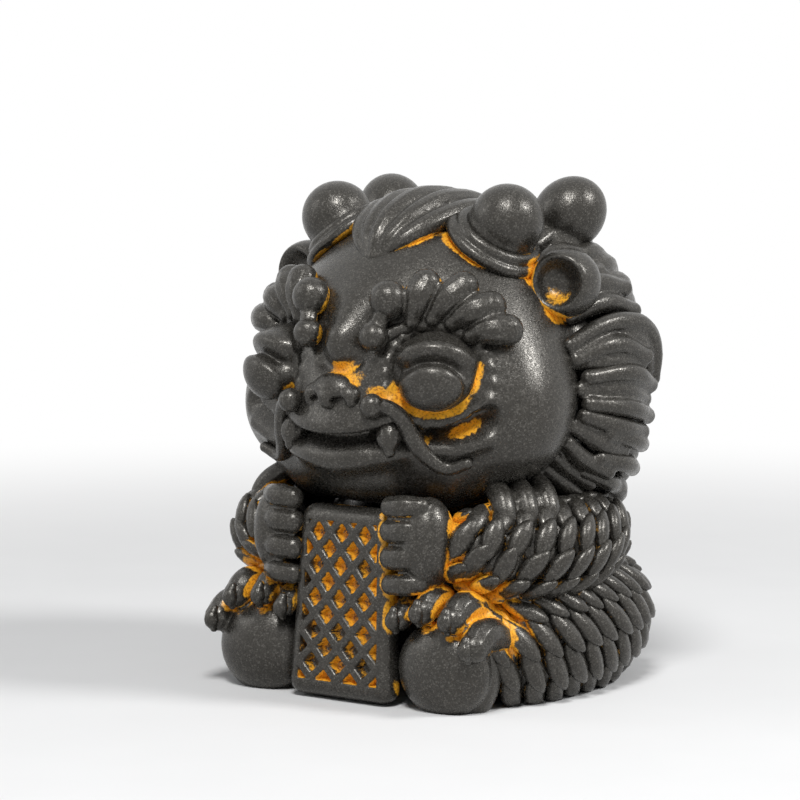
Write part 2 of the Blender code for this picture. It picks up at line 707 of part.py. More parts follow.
def thigh():
    """A scaly thigh that lies on the table, from the hip to behind the foot."""
    hip = Vector((THIGH_OUT * 0.86, HIP_BACK + THIGH_RADIUS * 1.1, THIGH_RADIUS * 1.2))
    middle = Vector((THIGH_OUT * 1.03, 0, THIGH_RADIUS))
    knee = Vector((SOLE_OUT, -KNEE_FORWARD - THIGH_RADIUS * 0.66, THIGH_RADIUS * 0.93))
    path, steps = [hip, middle, knee], 2 * THIGH_SCALES
    size = 1.86 * THIGH_RADIUS, 2.16 * THIGH_RADIUS
    return lobe("thigh_left", path, *size, upright, 0.5, steps, THIGH_SIDES, blunt, scaly, SCALE_SLANT)


def foot():
    """A sole pad that faces forwards, with a heel behind it and toes curled over its top."""
    centre = Vector((SOLE_OUT, -SOLE_FORWARD, SOLE_HEIGHT))
    heel = centre + Vector((0, HEEL_BACK, -SOLE_HEIGHT * 0.1))
    instep = centre + Vector((0, INSTEP_BACK, INSTEP_RISE))
    pieces = [ball("sole", centre, SOLE_RADII), ball("heel", heel, HEEL_RADII)]
    pieces.append(ball("instep", instep, INSTEP_RADII))
    for aside, above, radius in TOES:
        seat = centre + Vector((aside, 0, above))
        root = seat + Vector((0, TOE_LENGTH * 0.5, -TOE_DIP * 0.6))
        tip = seat + Vector((0, -TOE_LENGTH * 0.5, -TOE_DIP))
        pieces.append(lobe("toe", [root, seat, tip], 2.1 * radius, 2.1 * radius, upright, 0.5, 5, 7, blunt))
    return union("foot_left", pieces)


def behind(point):
    """Backward normal, for what lies on the back."""
    return Vector((0, 1, 0))


def tail():
    """A tuft of strands that rises from the base and lies on the back."""
    strands = []
    for i in range(TAIL_STRANDS):
        place = i - (TAIL_STRANDS - 1) / 2
        foot_point = Vector((place * TAIL_SPREAD * 0.45, TORSO_BACK + TORSO_HALF_DEPTH * 0.9, TAIL_HEIGHT))
        low = foot_point + Vector((place * TAIL_SPREAD * 0.6, TAIL_SWELL, TAIL_LENGTH * 0.28))
        high = foot_point + Vector((place * TAIL_SPREAD * 0.5, TAIL_SWELL * 0.9, TAIL_LENGTH * 0.62))
        tip = foot_point + Vector((0, -TAIL_SWELL * 0.2, TAIL_LENGTH - TAIL_STRAND_SHORTENING * abs(place)))
        path = [foot_point, low, high, tip]
        width, height = TAIL_STRAND_WIDTH, TAIL_STRAND_HEIGHT
        strands.append(lobe("strand", path, width, height, behind, 0.4, 7, TUBE_SIDES, blunt))
    return union("tail", strands)


def tablet():
    """A plate that tapers upwards, leans back and has rounded corners and edges."""
    bm = bmesh.new()
    half_low, half_high = TABLET_BOTTOM_WIDTH / 2, TABLET_TOP_WIDTH / 2
    corners = ((-half_low, 0.0), (half_low, 0.0), (half_high, TABLET_HEIGHT), (-half_high, TABLET_HEIGHT))
    front = [bm.verts.new((x, 0.0, z)) for x, z in corners]
    back = [bm.verts.new((x, TABLET_THICKNESS, z)) for x, z in corners]
    bm.faces.new(front)
    bm.faces.new(back[::-1])
    uprights = []
    for i in range(4):
        j = (i + 1) % 4
        bm.faces.new((front[j], front[i], back[i], back[j]))
        uprights.append(bm.edges.get((front[i], back[i])))
    bmesh.ops.bevel(bm, geom=uprights, offset=TABLET_CORNER, segments=4, profile=0.5, affect="EDGES")
    rim = [e for e in bm.edges if all(abs(v.co.y) < SLIP for v in e.verts)]
    bmesh.ops.bevel(bm, geom=rim, offset=TABLET_CORNER * 0.35, segments=2, profile=0.5, affect="EDGES")
    lean = Matrix.Rotation(math.radians(-TABLET_LEAN), 4, "X")
    bm.transform(Matrix.Translation((0, -TABLET_FORWARD, TABLET_CLEARANCE)) @ lean)
    return finished("tablet", bm)


def both(piece):
    """A left-hand piece and its right-hand copy."""
    name = piece.name.replace("_left", "_right")
    mirrored(cutter_of(piece), name + CUTTER)
    return [piece, mirrored(piece, name)]


def trim(piece, cutters):
    """Cuts a piece back from the pieces that were placed before it."""
    bpy.context.view_layer.update()
    for cutter in cutters:
        if near(piece, cutter):
            tool = bpy.data.objects.new("tool", cutter.data)
            bpy.context.scene.collection.objects.link(tool)
            boolean(piece, tool, "DIFFERENCE")
    keep_largest(piece)


def assemble():
    """Makes the pieces in the order in which they are luted on, and trims each to those before it."""
    makers = [
        [head()],
        [lower_jaw()],
        [tablet()],
        [torso()],
        [nose()],
        both(eye()),
        both(brow()),
        both(whisker()),
        both(fang()),
        both(horn_ball()),
        both(horn_collar()),
        both(horn_egg()),
        both(ear()),
        [forelock()],
        *[both(side_lock(i)) for i in range(SIDE_LOCKS)],
        *[[back_lock(i)] for i in range(BACK_LOCKS)],
        both(foot()),
        both(forepaw()),
        both(thigh()),
        both(arm()),
        [tail()],
    ]
    placed, cutters = [], []
    for pieces in makers:
        for piece in pieces:
            cutter = cutter_of(piece)
            trim(piece, cutters)
            flatten_base(piece)
            thin_out(piece)
            placed.append(piece)
            cutters.append(cutter)
    for cutter in cutters:
        bpy.data.objects.remove(cutter)
    return placed


def centre_on_base(pieces):
    """Moves the figure so that the origin is the middle of its base, and scales it to metres."""
    bpy.context.view_layer.update()
    boxes = [box_of(piece) for piece in pieces]
    middle = (min(low[1] for low, _ in boxes) + max(high[1] for _, high in boxes)) / 2
    for piece in pieces:
        piece.data.transform(Matrix.Scale(TO_METRES, 4) @ Matrix.Translation((0, -middle, 0)))


def main():
    clear_scene()
    pieces = assemble()
    centre_on_base(pieces)
    material = clay()
    for piece in pieces:
        piece.data.materials.clear()
        piece.data.materials.append(material)
        piece.data.shade_smooth()
        piece.data.set_sharp_from_angle(angle=math.radians(40.0))


main()
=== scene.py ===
"""Looks of a seated qilin figurine of dark iron-sand clay with an ochre wash in its recesses.

Pieces are modelled in millimetres in the maker's frame, with the figure facing -Y, and are set into
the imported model's frame, in metres, once all of them are shaped.
"""

import logging
import math
from dataclasses import dataclass, field, replace
from enum import Enum
from typing import Iterable, Iterator, Sequence

import bpy
import numpy as np
from mathutils import Matrix, Vector
from mathutils.bvhtree import BVHTree


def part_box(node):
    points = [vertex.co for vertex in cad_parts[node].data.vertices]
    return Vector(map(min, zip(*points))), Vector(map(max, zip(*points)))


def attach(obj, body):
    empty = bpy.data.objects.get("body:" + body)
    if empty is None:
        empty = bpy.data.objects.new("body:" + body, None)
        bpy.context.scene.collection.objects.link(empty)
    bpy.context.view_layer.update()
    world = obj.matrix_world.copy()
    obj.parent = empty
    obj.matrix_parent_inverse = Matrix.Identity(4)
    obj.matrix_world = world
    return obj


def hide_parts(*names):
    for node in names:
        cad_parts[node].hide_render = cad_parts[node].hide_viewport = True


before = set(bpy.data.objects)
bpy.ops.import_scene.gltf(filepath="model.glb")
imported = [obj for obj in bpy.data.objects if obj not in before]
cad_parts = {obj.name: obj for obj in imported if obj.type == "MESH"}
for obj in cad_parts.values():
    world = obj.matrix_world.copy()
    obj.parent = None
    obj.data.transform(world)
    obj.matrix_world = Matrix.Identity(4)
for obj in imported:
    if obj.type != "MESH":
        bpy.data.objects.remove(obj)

LOG = logging.getLogger("figurine")
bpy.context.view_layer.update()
MM = 0.001
TORSO_BACK = 6.0  # middle of the torso behind the maker's origin
UP = Vector((0, 0, 1))

Obj = bpy.types.Object
Node = bpy.types.Node
Socket = bpy.types.NodeSocket
Inputs = dict[str | int, object]
Rows = np.ndarray
Point = Sequence[float]
Angles = tuple[float, float]
Triple = tuple[float, float, float]
Colour = tuple[float, float, float, float]


class Side(Enum):
    """Sides of the figure that a paired piece belongs to."""

    LEFT = "left"
    RIGHT = "right"


@dataclass
class Piece:
    """A shaped piece, the CAD nodes that it replaces and how readily its recesses take the wash.

    A right-hand piece names the left-hand piece that it mirrors as its twin.
    """

    obj: Obj
    nodes: tuple[str, ...]
    wash: float = 1.0
    twin: "Piece | None" = None


def deselect() -> None:
    """Leaves nothing selected."""
    bpy.ops.object.select_all(action="DESELECT")


def heading(azimuth: float, elevation: float) -> Vector:
    """Unit vector at an azimuth and an elevation.

    Args:
        azimuth: Degrees from -Y towards +X.
        elevation: Degrees above the horizon.

    Returns:
        The unit vector.
    """
    a, e = math.radians(azimuth), math.radians(elevation)
    return Vector((math.sin(a) * math.cos(e), -math.cos(a) * math.cos(e), math.sin(e)))


def turned(axis: Point) -> Matrix:
    """Turn that brings +Z onto an axis."""
    return UP.rotation_difference(Vector(axis)).to_matrix().to_4x4()


def named(obj: Obj, name: str) -> Obj:
    """The same object, with a name for it and its mesh."""
    obj.name = obj.data.name = name
    return obj


def copied(obj: Obj) -> Obj:
    """Copies an object together with its mesh.

    Args:
        obj: The object.

    Returns:
        The copy, in the scene.
    """
    other = obj.copy()
    other.data = obj.data.copy()
    bpy.context.scene.collection.objects.link(other)
    return other


def ball(centre: Point, radii: Point, axis: Point = UP, segments: int = 32) -> Obj:
    """A ball of clay, pressed to three radii.

    Args:
        centre: Its middle.
        radii: Half sizes, the third along the axis.
        axis: Direction of the third radius.
        segments: Faces round it.

    Returns:
        The new mesh object.
    """
    deselect()
    bpy.ops.mesh.primitive_uv_sphere_add(segments=segments, ring_count=segments // 2, radius=1.0)
    obj = bpy.context.active_object
    obj.data.transform(Matrix.Translation(Vector(centre)) @ turned(axis) @ Matrix.Diagonal((*radii, 1.0)))
    return obj


def ring(centre: Point, axis: Point, radius: float, thickness: float) -> Obj:
    """A rolled ring of clay.

    Args:
        centre: Its middle.
        axis: Normal of its plane.
        radius: From the middle to the core of the roll.
        thickness: Radius of the roll.

    Returns:
        The new mesh object.
    """
    deselect()
    bpy.ops.mesh.primitive_torus_add(
        major_radius=radius, minor_radius=thickness, major_segments=64, minor_segments=16
    )
    obj = bpy.context.active_object
    obj.data.transform(Matrix.Translation(Vector(centre)) @ turned(axis))
    return obj


def roll(points: Sequence[Point], radii: Sequence[float]) -> list[Obj]:
    """A roll of clay along a smooth curve, with round ends.

    Args:
        points: Points that the core passes through.
        radii: Radius of the roll at each point.

    Returns:
        The roll and its two end balls.
    """
    deselect()
    bpy.ops.curve.primitive_bezier_curve_add()
    obj = bpy.context.active_object
    curve = obj.data
    curve.dimensions = "3D"
    curve.bevel_depth = 1.0
    curve.bevel_resolution = 3
    curve.resolution_u = 8
    curve.use_fill_caps = True
    spline = curve.splines[0]
    spline.bezier_points.add(len(points) - 2)
    spline.radius_interpolation = "CARDINAL"
    for knot, place, radius in zip(spline.bezier_points, points, radii):
        knot.co = place
        knot.handle_left_type = knot.handle_right_type = "AUTO"
        knot.radius = radius
    bpy.ops.object.convert(target="MESH")
    return [obj, *(ball(points[k], [radii[k]] * 3, segments=16) for k in (0, -1))]


def joined(name: str, parts: Iterable[Obj]) -> Obj:
    """Lutes closed parts together as one object and keeps their crisp edges.

    Args:
        name: Name of the result.
        parts: Closed parts.

    Returns:
        The joined mesh object.
    """
    deselect()
    members = list(parts)
    for part in members:
        part.select_set(True)
    bpy.context.view_layer.objects.active = members[0]
    bpy.ops.object.join()
    bpy.ops.object.shade_smooth()
    return named(bpy.context.active_object, name)


def finished(kind: str, **settings: object) -> None:
    """Adds a modifier to the active object and applies it.

    Args:
        kind: Type of the modifier.
        **settings: Its values.
    """
    bpy.ops.object.modifier_add(type=kind)
    step = bpy.context.active_object.modifiers[-1]
    for name, value in settings.items():
        setattr(step, name, value)
    bpy.ops.object.modifier_apply(modifier=step.name)


def fused(name: str, parts: Iterable[Obj], grain: float, rounds: int = 0) -> Obj:
    """Presses overlapping parts into one skin and rounds its creases.

    Args:
        name: Name of the result.
        parts: Overlapping closed parts.
        grain: Fineness of the skin in millimetres.
        rounds: How often the creases are smoothed.

    Returns:
        The fused mesh object.
    """
    obj = joined(name, parts)
    finished("REMESH", mode="VOXEL", voxel_size=grain * 1.0)
    if rounds:
        finished("SMOOTH", factor=0.5, iterations=rounds)
    bpy.ops.object.shade_smooth()
    return obj


def rows_of(items: bpy.types.bpy_prop_collection, key: str) -> Rows:
    """Reads three numbers from each item of a mesh.

    Args:
        items: Vertices or their normals.
        key: What is read from each.

    Returns:
        One row for each item.
    """
    flat = np.empty(len(items) * 3, np.float32)
    items.foreach_get(key, flat)
    return flat.reshape(-1, 3).astype(np.float64)


def points_of(obj: Obj) -> Rows:
    """Vertex places of a mesh object as rows."""
    return rows_of(obj.data.vertices, "co")


def normals_of(obj: Obj) -> Rows:
    """Vertex normals of a mesh object as rows."""
    return rows_of(obj.data.vertex_normals, "vector")


def moved(obj: Obj, places: Rows) -> Obj:
    """Moves the vertices of a mesh object, as a sculpting tool does.

    Args:
        obj: The mesh object.
        places: New vertex places.

    Returns:
        The same object.
    """
    obj.data.vertices.foreach_set("co", places.astype(np.float32).ravel())
    obj.data.update()
    return obj


def seated(obj: Obj) -> Obj:
    """Flattens what would reach below the table."""
    return moved(obj, np.maximum(points_of(obj), (-np.inf, -np.inf, 0.0)))


def mirrored(piece: Piece) -> Piece:
    """The right-hand copy of a left-hand piece, with its own mesh.

    Args:
        piece: The left-hand piece.

    Returns:
        The right-hand piece.
    """
    left, right = Side.LEFT.value, Side.RIGHT.value
    obj = named(copied(piece.obj), piece.obj.name.replace(left, right))
    obj.data.transform(Matrix.Diagonal((-1, 1, 1, 1)))
    obj.data.flip_normals()
    nodes = tuple(node.replace(left, right) for node in piece.nodes)
    return Piece(obj, nodes, piece.wash, piece)


def unit_rows(rows: Rows) -> Rows:
    """Rows scaled to unit length."""
    return rows / np.linalg.norm(rows, axis=1, keepdims=True)


def bell(values: Rows, middle: float, width: float) -> Rows:
    """Bell curve round a middle, 1 at its top."""
    return np.exp(-(((values - middle) / width) ** 2))


def nearest_angle(rows: Rows, path: Sequence[Angles], steps: int = 24) -> tuple[Rows, Rows]:
    """Angle from unit rows to a path of azimuths and elevations.

    Args:
        rows: Unit headings.
        path: Azimuth and elevation pairs in degrees.
        steps: Samples along the path.

    Returns:
        The angle in degrees and the share along the path of the nearest sample.
    """
    spots = np.linspace(0, len(path) - 1, steps)
    azimuths, elevations = (np.interp(spots, np.arange(len(path)), column) for column in zip(*path))
    best = np.full(len(rows), -2.0)
    share = np.zeros(len(rows))
    for k, (azimuth, elevation) in enumerate(zip(azimuths, elevations)):
        closeness = rows @ np.array(heading(azimuth, elevation))
        nearer = closeness > best
        best[nearer] = closeness[nearer]
        share[nearer] = k / (steps - 1)
    return np.degrees(np.arccos(np.clip(best, -1, 1))), share


@dataclass(frozen=True)
class Swell:
    """A rise of the skull round one spot, or a hollow where its height is negative.

    It fades over its spread in degrees, and its power says how flat its middle is.
    """

    azimuth: float
    elevation: float
    height: float
    spread: float
    power: float = 2.0

    def rise(self, rows: Rows) -> Rows:
        """Height that the swell adds at unit headings."""
        angle = np.degrees(np.arccos(np.clip(rows @ np.array(heading(self.azimuth, self.elevation)), -1, 1)))
        return self.height * np.exp(-((angle / self.spread) ** self.power))

    def opposite(self) -> "Swell":
        """The same swell on the other side."""
        return replace(self, azimuth=-self.azimuth)


@dataclass(frozen=True)
class Crease:
    """A ridge of the skull along a path, or a groove where its height is negative.

    Its spread is its half width in degrees, which grows by the share flare towards its far end.
    """

    path: tuple[Angles, ...]
    height: float
    spread: float
    power: float = 2.0
    flare: float = 0.0

    def rise(self, rows: Rows) -> Rows:
        """Height that the crease adds at unit headings."""
        angle, share = nearest_angle(rows, self.path)
        return self.height * np.exp(-((angle / (self.spread * (1.0 + self.flare * share))) ** self.power))

    def opposite(self) -> "Crease":
        """The same crease on the other side."""
        return replace(self, path=tuple((-a, e) for a, e in self.path))


def paired(*features: Swell | Crease) -> list[Swell | Crease]:
    """Features of the left side and their mirror images."""
    return [item for left in features for item in (left, left.opposite())]


@dataclass
class Skull:
    """Size and relief of the head, which carries every other piece of it."""

    centre: Vector = field(default_factory=lambda: Vector((0.0, -4.0, 48.6)))
    half_width: float = 23.5
    front: float = 20.5
    back: float = 25.0
    half_height: float = 21.5
    eye: Angles = (38.2, -1.0)
    eye_rim: float = 18.6
    ear: Triple = (98.0, 29.0, 3.2)
    half_mouth: tuple[Angles, ...] = ((0, -22.9), (12, -22.4), (20, -21.4), (28, -20.2))

    def __post_init__(self) -> None:
        """Sets the relief: first the broad forms that carry pieces, then the modelling of the face."""
        cheek, socket = Swell(68, -21, 6.9, 27), Swell(*self.eye, -2.6, 16)
        muzzle, forehead, bridge = Swell(0, -17, 5.6, 27), Swell(0, 38, 0.4, 32), Swell(0, 4, -2.6, 13)
        self.forms = [*paired(cheek, socket), muzzle, forehead, bridge]
        mouth = tuple((-a, e) for a, e in reversed(self.half_mouth[1:])) + self.half_mouth
        chin = Crease(((-40, -47), (0, -47), (40, -47)), 3.6, 15)
        upper_lip = Crease(tuple((a, e + 4.4) for a, e in mouth), 1.3, 3.8)
        lower_lip = Crease(tuple((a * 0.8, -29.6 + abs(a) * 0.09) for a, _ in mouth), 2.2, 5.0)
        nub = [Swell(0, 8, 2.6, 7.4, 2.6), Swell(0, 16, 1.4, 8.0), Swell(0, 26, 0.6, 10.0)]
        under_nub = Crease(((-8, 2.5), (0, -1.2), (8, 2.5)), -0.8, 2.4)
        corner = Crease(((16, -22.7), (20, -21.8), (25, -20.2)), -1.2, 2.5, 3.0)
        dimple = Swell(26.0, -23.0, -2.0, 2.8)
        smile = Crease(((35, -22.4), (42, -21.4), (49, -18.0), (54.5, -13.8)), -3.6, 1.65, 3.0, 0.8)
        below_smile = Crease(((36, -26.6), (45, -25.8), (54, -20.4)), 0.9, 2.4)
        above_smile = Crease(((37, -17.2), (46, -15.0), (53, -9.8)), 0.7, 2.6)
        frown = Crease(((13, 20), (11.5, 8)), -0.6, 3.2)
        rim = Crease(tuple(self.round_eye(turn, self.eye_rim) for turn in range(0, 361, 15)), 0.8, 2.2)
        self.modelling = [chin, upper_lip, lower_lip, Crease(mouth, -3.4, 2.0, 3.0), *nub, under_nub]
        self.modelling += paired(corner, dimple, smile, below_smile, above_smile, frown, rim)

    def eye_axes(self) -> tuple[Vector, Vector, Vector]:
        """Ways out of the left eye, across it and up it.

        Returns:
            Three unit vectors.
        """
        out = heading(*self.eye)
        across = out.cross(UP).normalized()
        return out, across, across.cross(out)

    def round_eye(self, turn: float, apart: float) -> Angles:
        """A spot on a ring round the left eye.

        Args:
            turn: Degrees from the nose's side over the brow.
            apart: Degrees from the middle of the eye.

        Returns:
            Azimuth and elevation in degrees.
        """
        out, across, up = self.eye_axes()
        a, r = math.radians(turn), math.radians(apart)
        spot = out * math.cos(r) + (across * math.cos(a) + up * math.sin(a)) * math.sin(r)
        return math.degrees(math.atan2(spot.x, -spot.y)), math.degrees(math.asin(spot.z))

    def reach(self, rows: Rows, fine: bool = False) -> Rows:
        """Distance from the centre to the skin.

        Args:
            rows: Unit headings.
            fine: Whether the modelling of the face counts.

        Returns:
            Millimetres for each heading.
        """
        depth = np.where(rows[:, 1] < 0, self.front, self.back)
        squares = (rows[:, 0] / self.half_width) ** 2 + (rows[:, 1] / depth) ** 2
        far = (squares + (rows[:, 2] / self.half_height) ** 2) ** -0.5
        for item in self.forms + (self.modelling if fine else []):
            far = far + item.rise(rows)
        return far

    def at(self, azimuth: float, elevation: float, lift: float = 0.0) -> Vector:
        """Point at a height above the skin of the broad forms."""
        way = heading(azimuth, elevation)
        return self.centre + way * (float(self.reach(np.array([way]))[0]) + lift)

    def out(self, point: Vector) -> Vector:
        """Way out of the head at a point."""
        return (point - self.centre).normalized()


@dataclass
class Face:
    """Head shell with jaw, and the pieces of the face."""

    skull: Skull
    nostril: Triple = (2.25, -29.4, 43.9)
    nostril_size: Triple = (0.95, 2.0, 0.75)
    eye_radius: float = 6.0
    eye_reach: float = 21.5
    eyeball: tuple[float, float] = (0.85, -1.7)
    eyeball_radii: tuple[float, float] = (4.5, 3.4)
    lobe_radius: float = 2.55
    brow_lobes: tuple[tuple[Angles, Angles], ...] = (
        ((29.0, 18.5), (34.4, 31.6)),
        ((37.0, 19.5), (49.5, 30.0)),
        ((44.5, 17.5), (58.5, 21.8)),
        ((51.0, 12.0), (62.5, 13.2)),
    )
    brow_ridge: tuple[Angles, ...] = ((17, 12), (24, 15.5), (34, 17.5), (44, 15.5), (53, 10.5))
    whisker_ball: float = 1.8
    whisker_path: tuple[Triple, ...] = (
        (16.8, -10.9, 1.15),
        (21.5, -11.6, 1.15),
        (26.3, -15.5, 1.25),
        (30.0, -22.3, 1.3),
        (35.4, -28.9, 1.25),
        (42.5, -31.8, 1.1),
        (48.5, -28.2, 0.85),
    )
    fang_radii: Triple = (2.0, 1.8, 0.9)

    def build(self) -> list[Piece]:
        """Shapes every piece of the face."""
        left = [self.left_eye(), self.brow(), self.whisker(), self.fang()]
        return [self.shell(), self.nose(), *left, *map(mirrored, left)]

    def shell(self) -> Piece:
        """Skull, cheeks, muzzle and jaw in one skin, with mouth, smile lines and eye rims.

        Returns:
            The head with its jaw.
        """
        deselect()
        bpy.ops.mesh.primitive_ico_sphere_add(subdivisions=7, radius=1.0)
        obj = named(bpy.context.active_object, "head_shell")
        rows = unit_rows(points_of(obj))
        moved(obj, np.array(self.skull.centre) + rows * self.skull.reach(rows, True)[:, None])
        finished("SMOOTH", factor=0.5, iterations=3)
        bpy.ops.object.shade_smooth()
        return Piece(obj, ("head", "lower_jaw"), 0.35)

    def nose(self) -> Piece:
        """Broad bridge, two wings and pressed nostrils.

        Returns:
            The nose.
        """
        parts = [ball((0, -27.0, 45.4), (3.9, 3.0, 2.7)), ball((0, -28.4, 44.6), (2.2, 2.0, 1.8))]
        parts += [ball((side * 3.0, -27.3, 44.7), (2.0, 2.3, 2.0)) for side in (-1, 1)]
        obj = fused("nose_bulb", parts, 0.18, 6)
        places, normals = points_of(obj), normals_of(obj)
        x, y, z = self.nostril
        for side in (-1, 1):
            gap = (places - (side * x, y, z)) / self.nostril_size
            places = places - normals * (1.7 * np.exp(-(gap**2).sum(axis=1)))[:, None]
        return Piece(moved(obj, places), ("nose",), 0.3)

    def left_eye(self) -> Piece:
        """A ball pressed into an eyeball under a folded lid, with a sunk crescent between them.

        Returns:
            The left eye.
        """
        way, across, up = self.skull.eye_axes()
        centre = self.skull.centre + way * self.eye_reach
        obj = named(ball(centre, [self.eye_radius] * 3, way, 128), "eye_dome_left")
        places = points_of(obj)
        gap = places - np.array(centre)
        aside = (gap @ np.array(across) - self.eyeball[0]) / self.eyeball_radii[0]
        above = (gap @ np.array(up) - self.eyeball[1]) / self.eyeball_radii[1]
        apart = np.hypot(aside, above)
        lid = np.clip((above / np.maximum(apart, 0.01) - 0.12) / 0.5, 0, 1)
        rise = np.sqrt(np.clip(1.0 - apart**2, 0, 1))
        rise += lid * (0.55 * bell(apart, 1.72, 0.26) - 1.5 * bell(apart, 1.23, 0.2))
        rise -= 0.5 * (1 - lid) * bell(apart, 1.12, 0.12)
        rise *= gap @ np.array(way) > 0.5
        moved(obj, places + normals_of(obj) * rise[:, None])
        bpy.ops.object.shade_smooth()
        return Piece(obj, ("eye_left",), 0.15)

    def brow(self) -> Piece:
        """Two curl balls by the nose bridge and a fan of fat lobes.

        Returns:
            The left brow.
        """
        at, fat = self.skull.at, self.lobe_radius
        upper, lower = at(19.5, 25.5, 1.7), at(15.0, 12.0, 1.6)
        parts = [ball(upper, (2.8, 2.8, 2.9)), ball(lower, (2.15, 2.15, 2.15))]
        parts += roll([lower, (lower + upper) / 2 + self.skull.out(upper) * 0.1, upper], [1.5, 1.3, 1.7])
        for (root_a, root_e), (tip_a, tip_e) in self.brow_lobes:
            middle = at((root_a + tip_a) / 2 - 0.6, (root_e + tip_e) / 2 + 1.0, 1.5)
            lobe = [at(root_a, root_e, 0.6), middle, at(tip_a, tip_e, 1.5)]
            parts += roll(lobe, [fat * 0.5, fat * 0.84, fat * 0.92])
        parts += roll([at(a, e, -0.3) for a, e in self.brow_ridge], [1.2, 1.2, 1.2, 1.1, 1.0])
        return Piece(fused("brow_fan_left", parts, 0.21), ("brow_left",), 0.6)

    def whisker(self) -> Piece:
        """A ball beside the nose and a barbel that curls up past the mouth corner.

        Returns:
            The left whisker.
        """
        path = [self.skull.at(a, e, 1.5) for a, e, _ in self.whisker_path]
        parts = [ball(path[0], [self.whisker_ball] * 3)]
        parts += roll(path, [radius for _, _, radius in self.whisker_path])
        return Piece(fused("whisker_barbel_left", parts, 0.18, 2), ("whisker_left",), 0.2)

    def fang(self) -> Piece:
        """A blunt tooth that hangs from the mouth corner.

        Returns:
            The left fang.
        """
        root = self.skull.at(21.8, -21.6, 0.5)
        tip = root + Vector((0.3, -0.6, -2.4))
        parts = roll([root, (root + tip) / 2 + Vector((0, -0.2, 0.2)), tip], self.fang_radii)
        return Piece(fused("fang_tooth_left", parts, 0.18, 2), ("fang_left",), 0.1)


@dataclass
class Crown:
    """Horns, collars, ears and forelock."""

    skull: Skull
    horn: Angles = (82.7, 53.3)
    bud_radius: float = 5.45
    collar_rolls: tuple[Triple, ...] = ((0.4, 5.75, 1.0), (-0.9, 6.9, 0.95))
    rear_horn: Angles = (130.0, 46.0)
    ear_radii: Triple = (5.1, 5.1, 4.6)
    strands: int = 5

    def build(self) -> list[Piece]:
        """Shapes every piece on top of the head."""
        left = [self.bud(), self.collar(), self.egg(), self.ear()]
        return [self.forelock(), *left, *map(mirrored, left)]

    def bud(self) -> Piece:
        """A round front horn on a short neck.

        Returns:
            The left bud.
        """
        way = heading(*self.horn)
        centre = self.skull.at(*self.horn, self.bud_radius * 0.72)
        parts = [ball(centre - way * sunk, [self.bud_radius] * 3, way, 48) for sunk in (0.0, 1.8)]
        return Piece(fused("horn_ball_left", parts, 0.28, 4), ("horn_bud_left",), 0.1)

    def collar(self) -> Piece:
        """A roll round the foot of the front horn with a second one below it.

        Returns:
            The left collar.
        """
        way = heading(*self.horn)
        foot = self.skull.at(*self.horn, 0.7)
        parts = [ring(foot + way * up, way, radius, fat) for up, radius, fat in self.collar_rolls]
        parts.append(ball(foot - way * 1.2, (6.4, 6.4, 1.4), way, 48))
        return Piece(fused("horn_ring_left", parts, 0.2, 1), ("horn_collar_left",), 0.35)

    def egg(self) -> Piece:
        """An egg-shaped rear horn, fuller towards its top.

        Returns:
            The left egg.
        """
        way = heading(*self.rear_horn)
        centre = self.skull.at(*self.rear_horn, 5.4)
        parts = [
            ball(centre + way * 1.9 + Vector((0.4, 0, 0)), (5.3, 5.3, 6.0), way, 48),
            ball(centre + Vector((-0.5, -0.8, -4.0)), (5.2, 5.2, 6.0)),
        ]
        return Piece(fused("horn_bulb_left", parts, 0.28, 6), ("horn_egg_left",), 0.2)

    def ear(self) -> Piece:
        """A thick round cup with a rim round a bowl-shaped hollow that faces forwards.

        Returns:
            The left ear.
        """
        facing = Vector((0.42, -0.9, -0.02)).normalized()
        aside = facing.cross(UP).normalized()
        centre = self.skull.at(*self.skull.ear) + aside * 0.1 + facing * 1.6 - UP * 0.7
        cup = ball(centre, self.ear_radii, facing, 96)
        places, front = points_of(cup), np.array(facing)
        gap = places - np.array(centre + aside * 0.9 + UP * 0.2)
        along = gap @ front
        apart = np.linalg.norm(gap - along[:, None] * front, axis=1)
        rise = 0.8 * bell(apart, 4.0, 1.1) - 3.6 * np.exp(-((apart / 3.1) ** 3.4))
        moved(cup, places + (rise * np.clip(along, 0, 1))[:, None] * front)
        lobe = ball(centre - facing * 2.6 + Vector((-1.0, 0.4, -2.4)), (4.6, 4.6, 4.0))
        return Piece(joined("ear_cup_left", [cup, lobe]), ("ear_left",), 0.3)

    def forelock(self) -> Piece:
        """Strands that rise from one point on the forehead and fan back over the crown.

        Returns:
            The forelock.
        """
        parts: list[Obj] = [ball((0, -1.0, 64.6), (7.0, 12.0, 4.5))]
        for index in range(self.strands):
            k = index - (self.strands - 1) / 2
            points = [
                (0.5 * k, -18.0 + 0.15 * abs(k), 64.2),
                (2.0 * k, -16.2 + 0.5 * abs(k), 67.6 - 0.15 * k * k),
                (3.4 * k, -10.4 + 0.9 * abs(k), 71.4 - 0.36 * k * k),
                (3.8 * k, -1.5, 72.6 - 0.45 * k * k),
                (3.5 * k, 9.0, 71.0 - 0.35 * k * k),
            ]
            parts += roll(points, [0.9, 1.5, 1.85, 1.85, 1.4])
        return Piece(fused("forelock_strands", parts, 0.26), ("forelock",), 0.35)


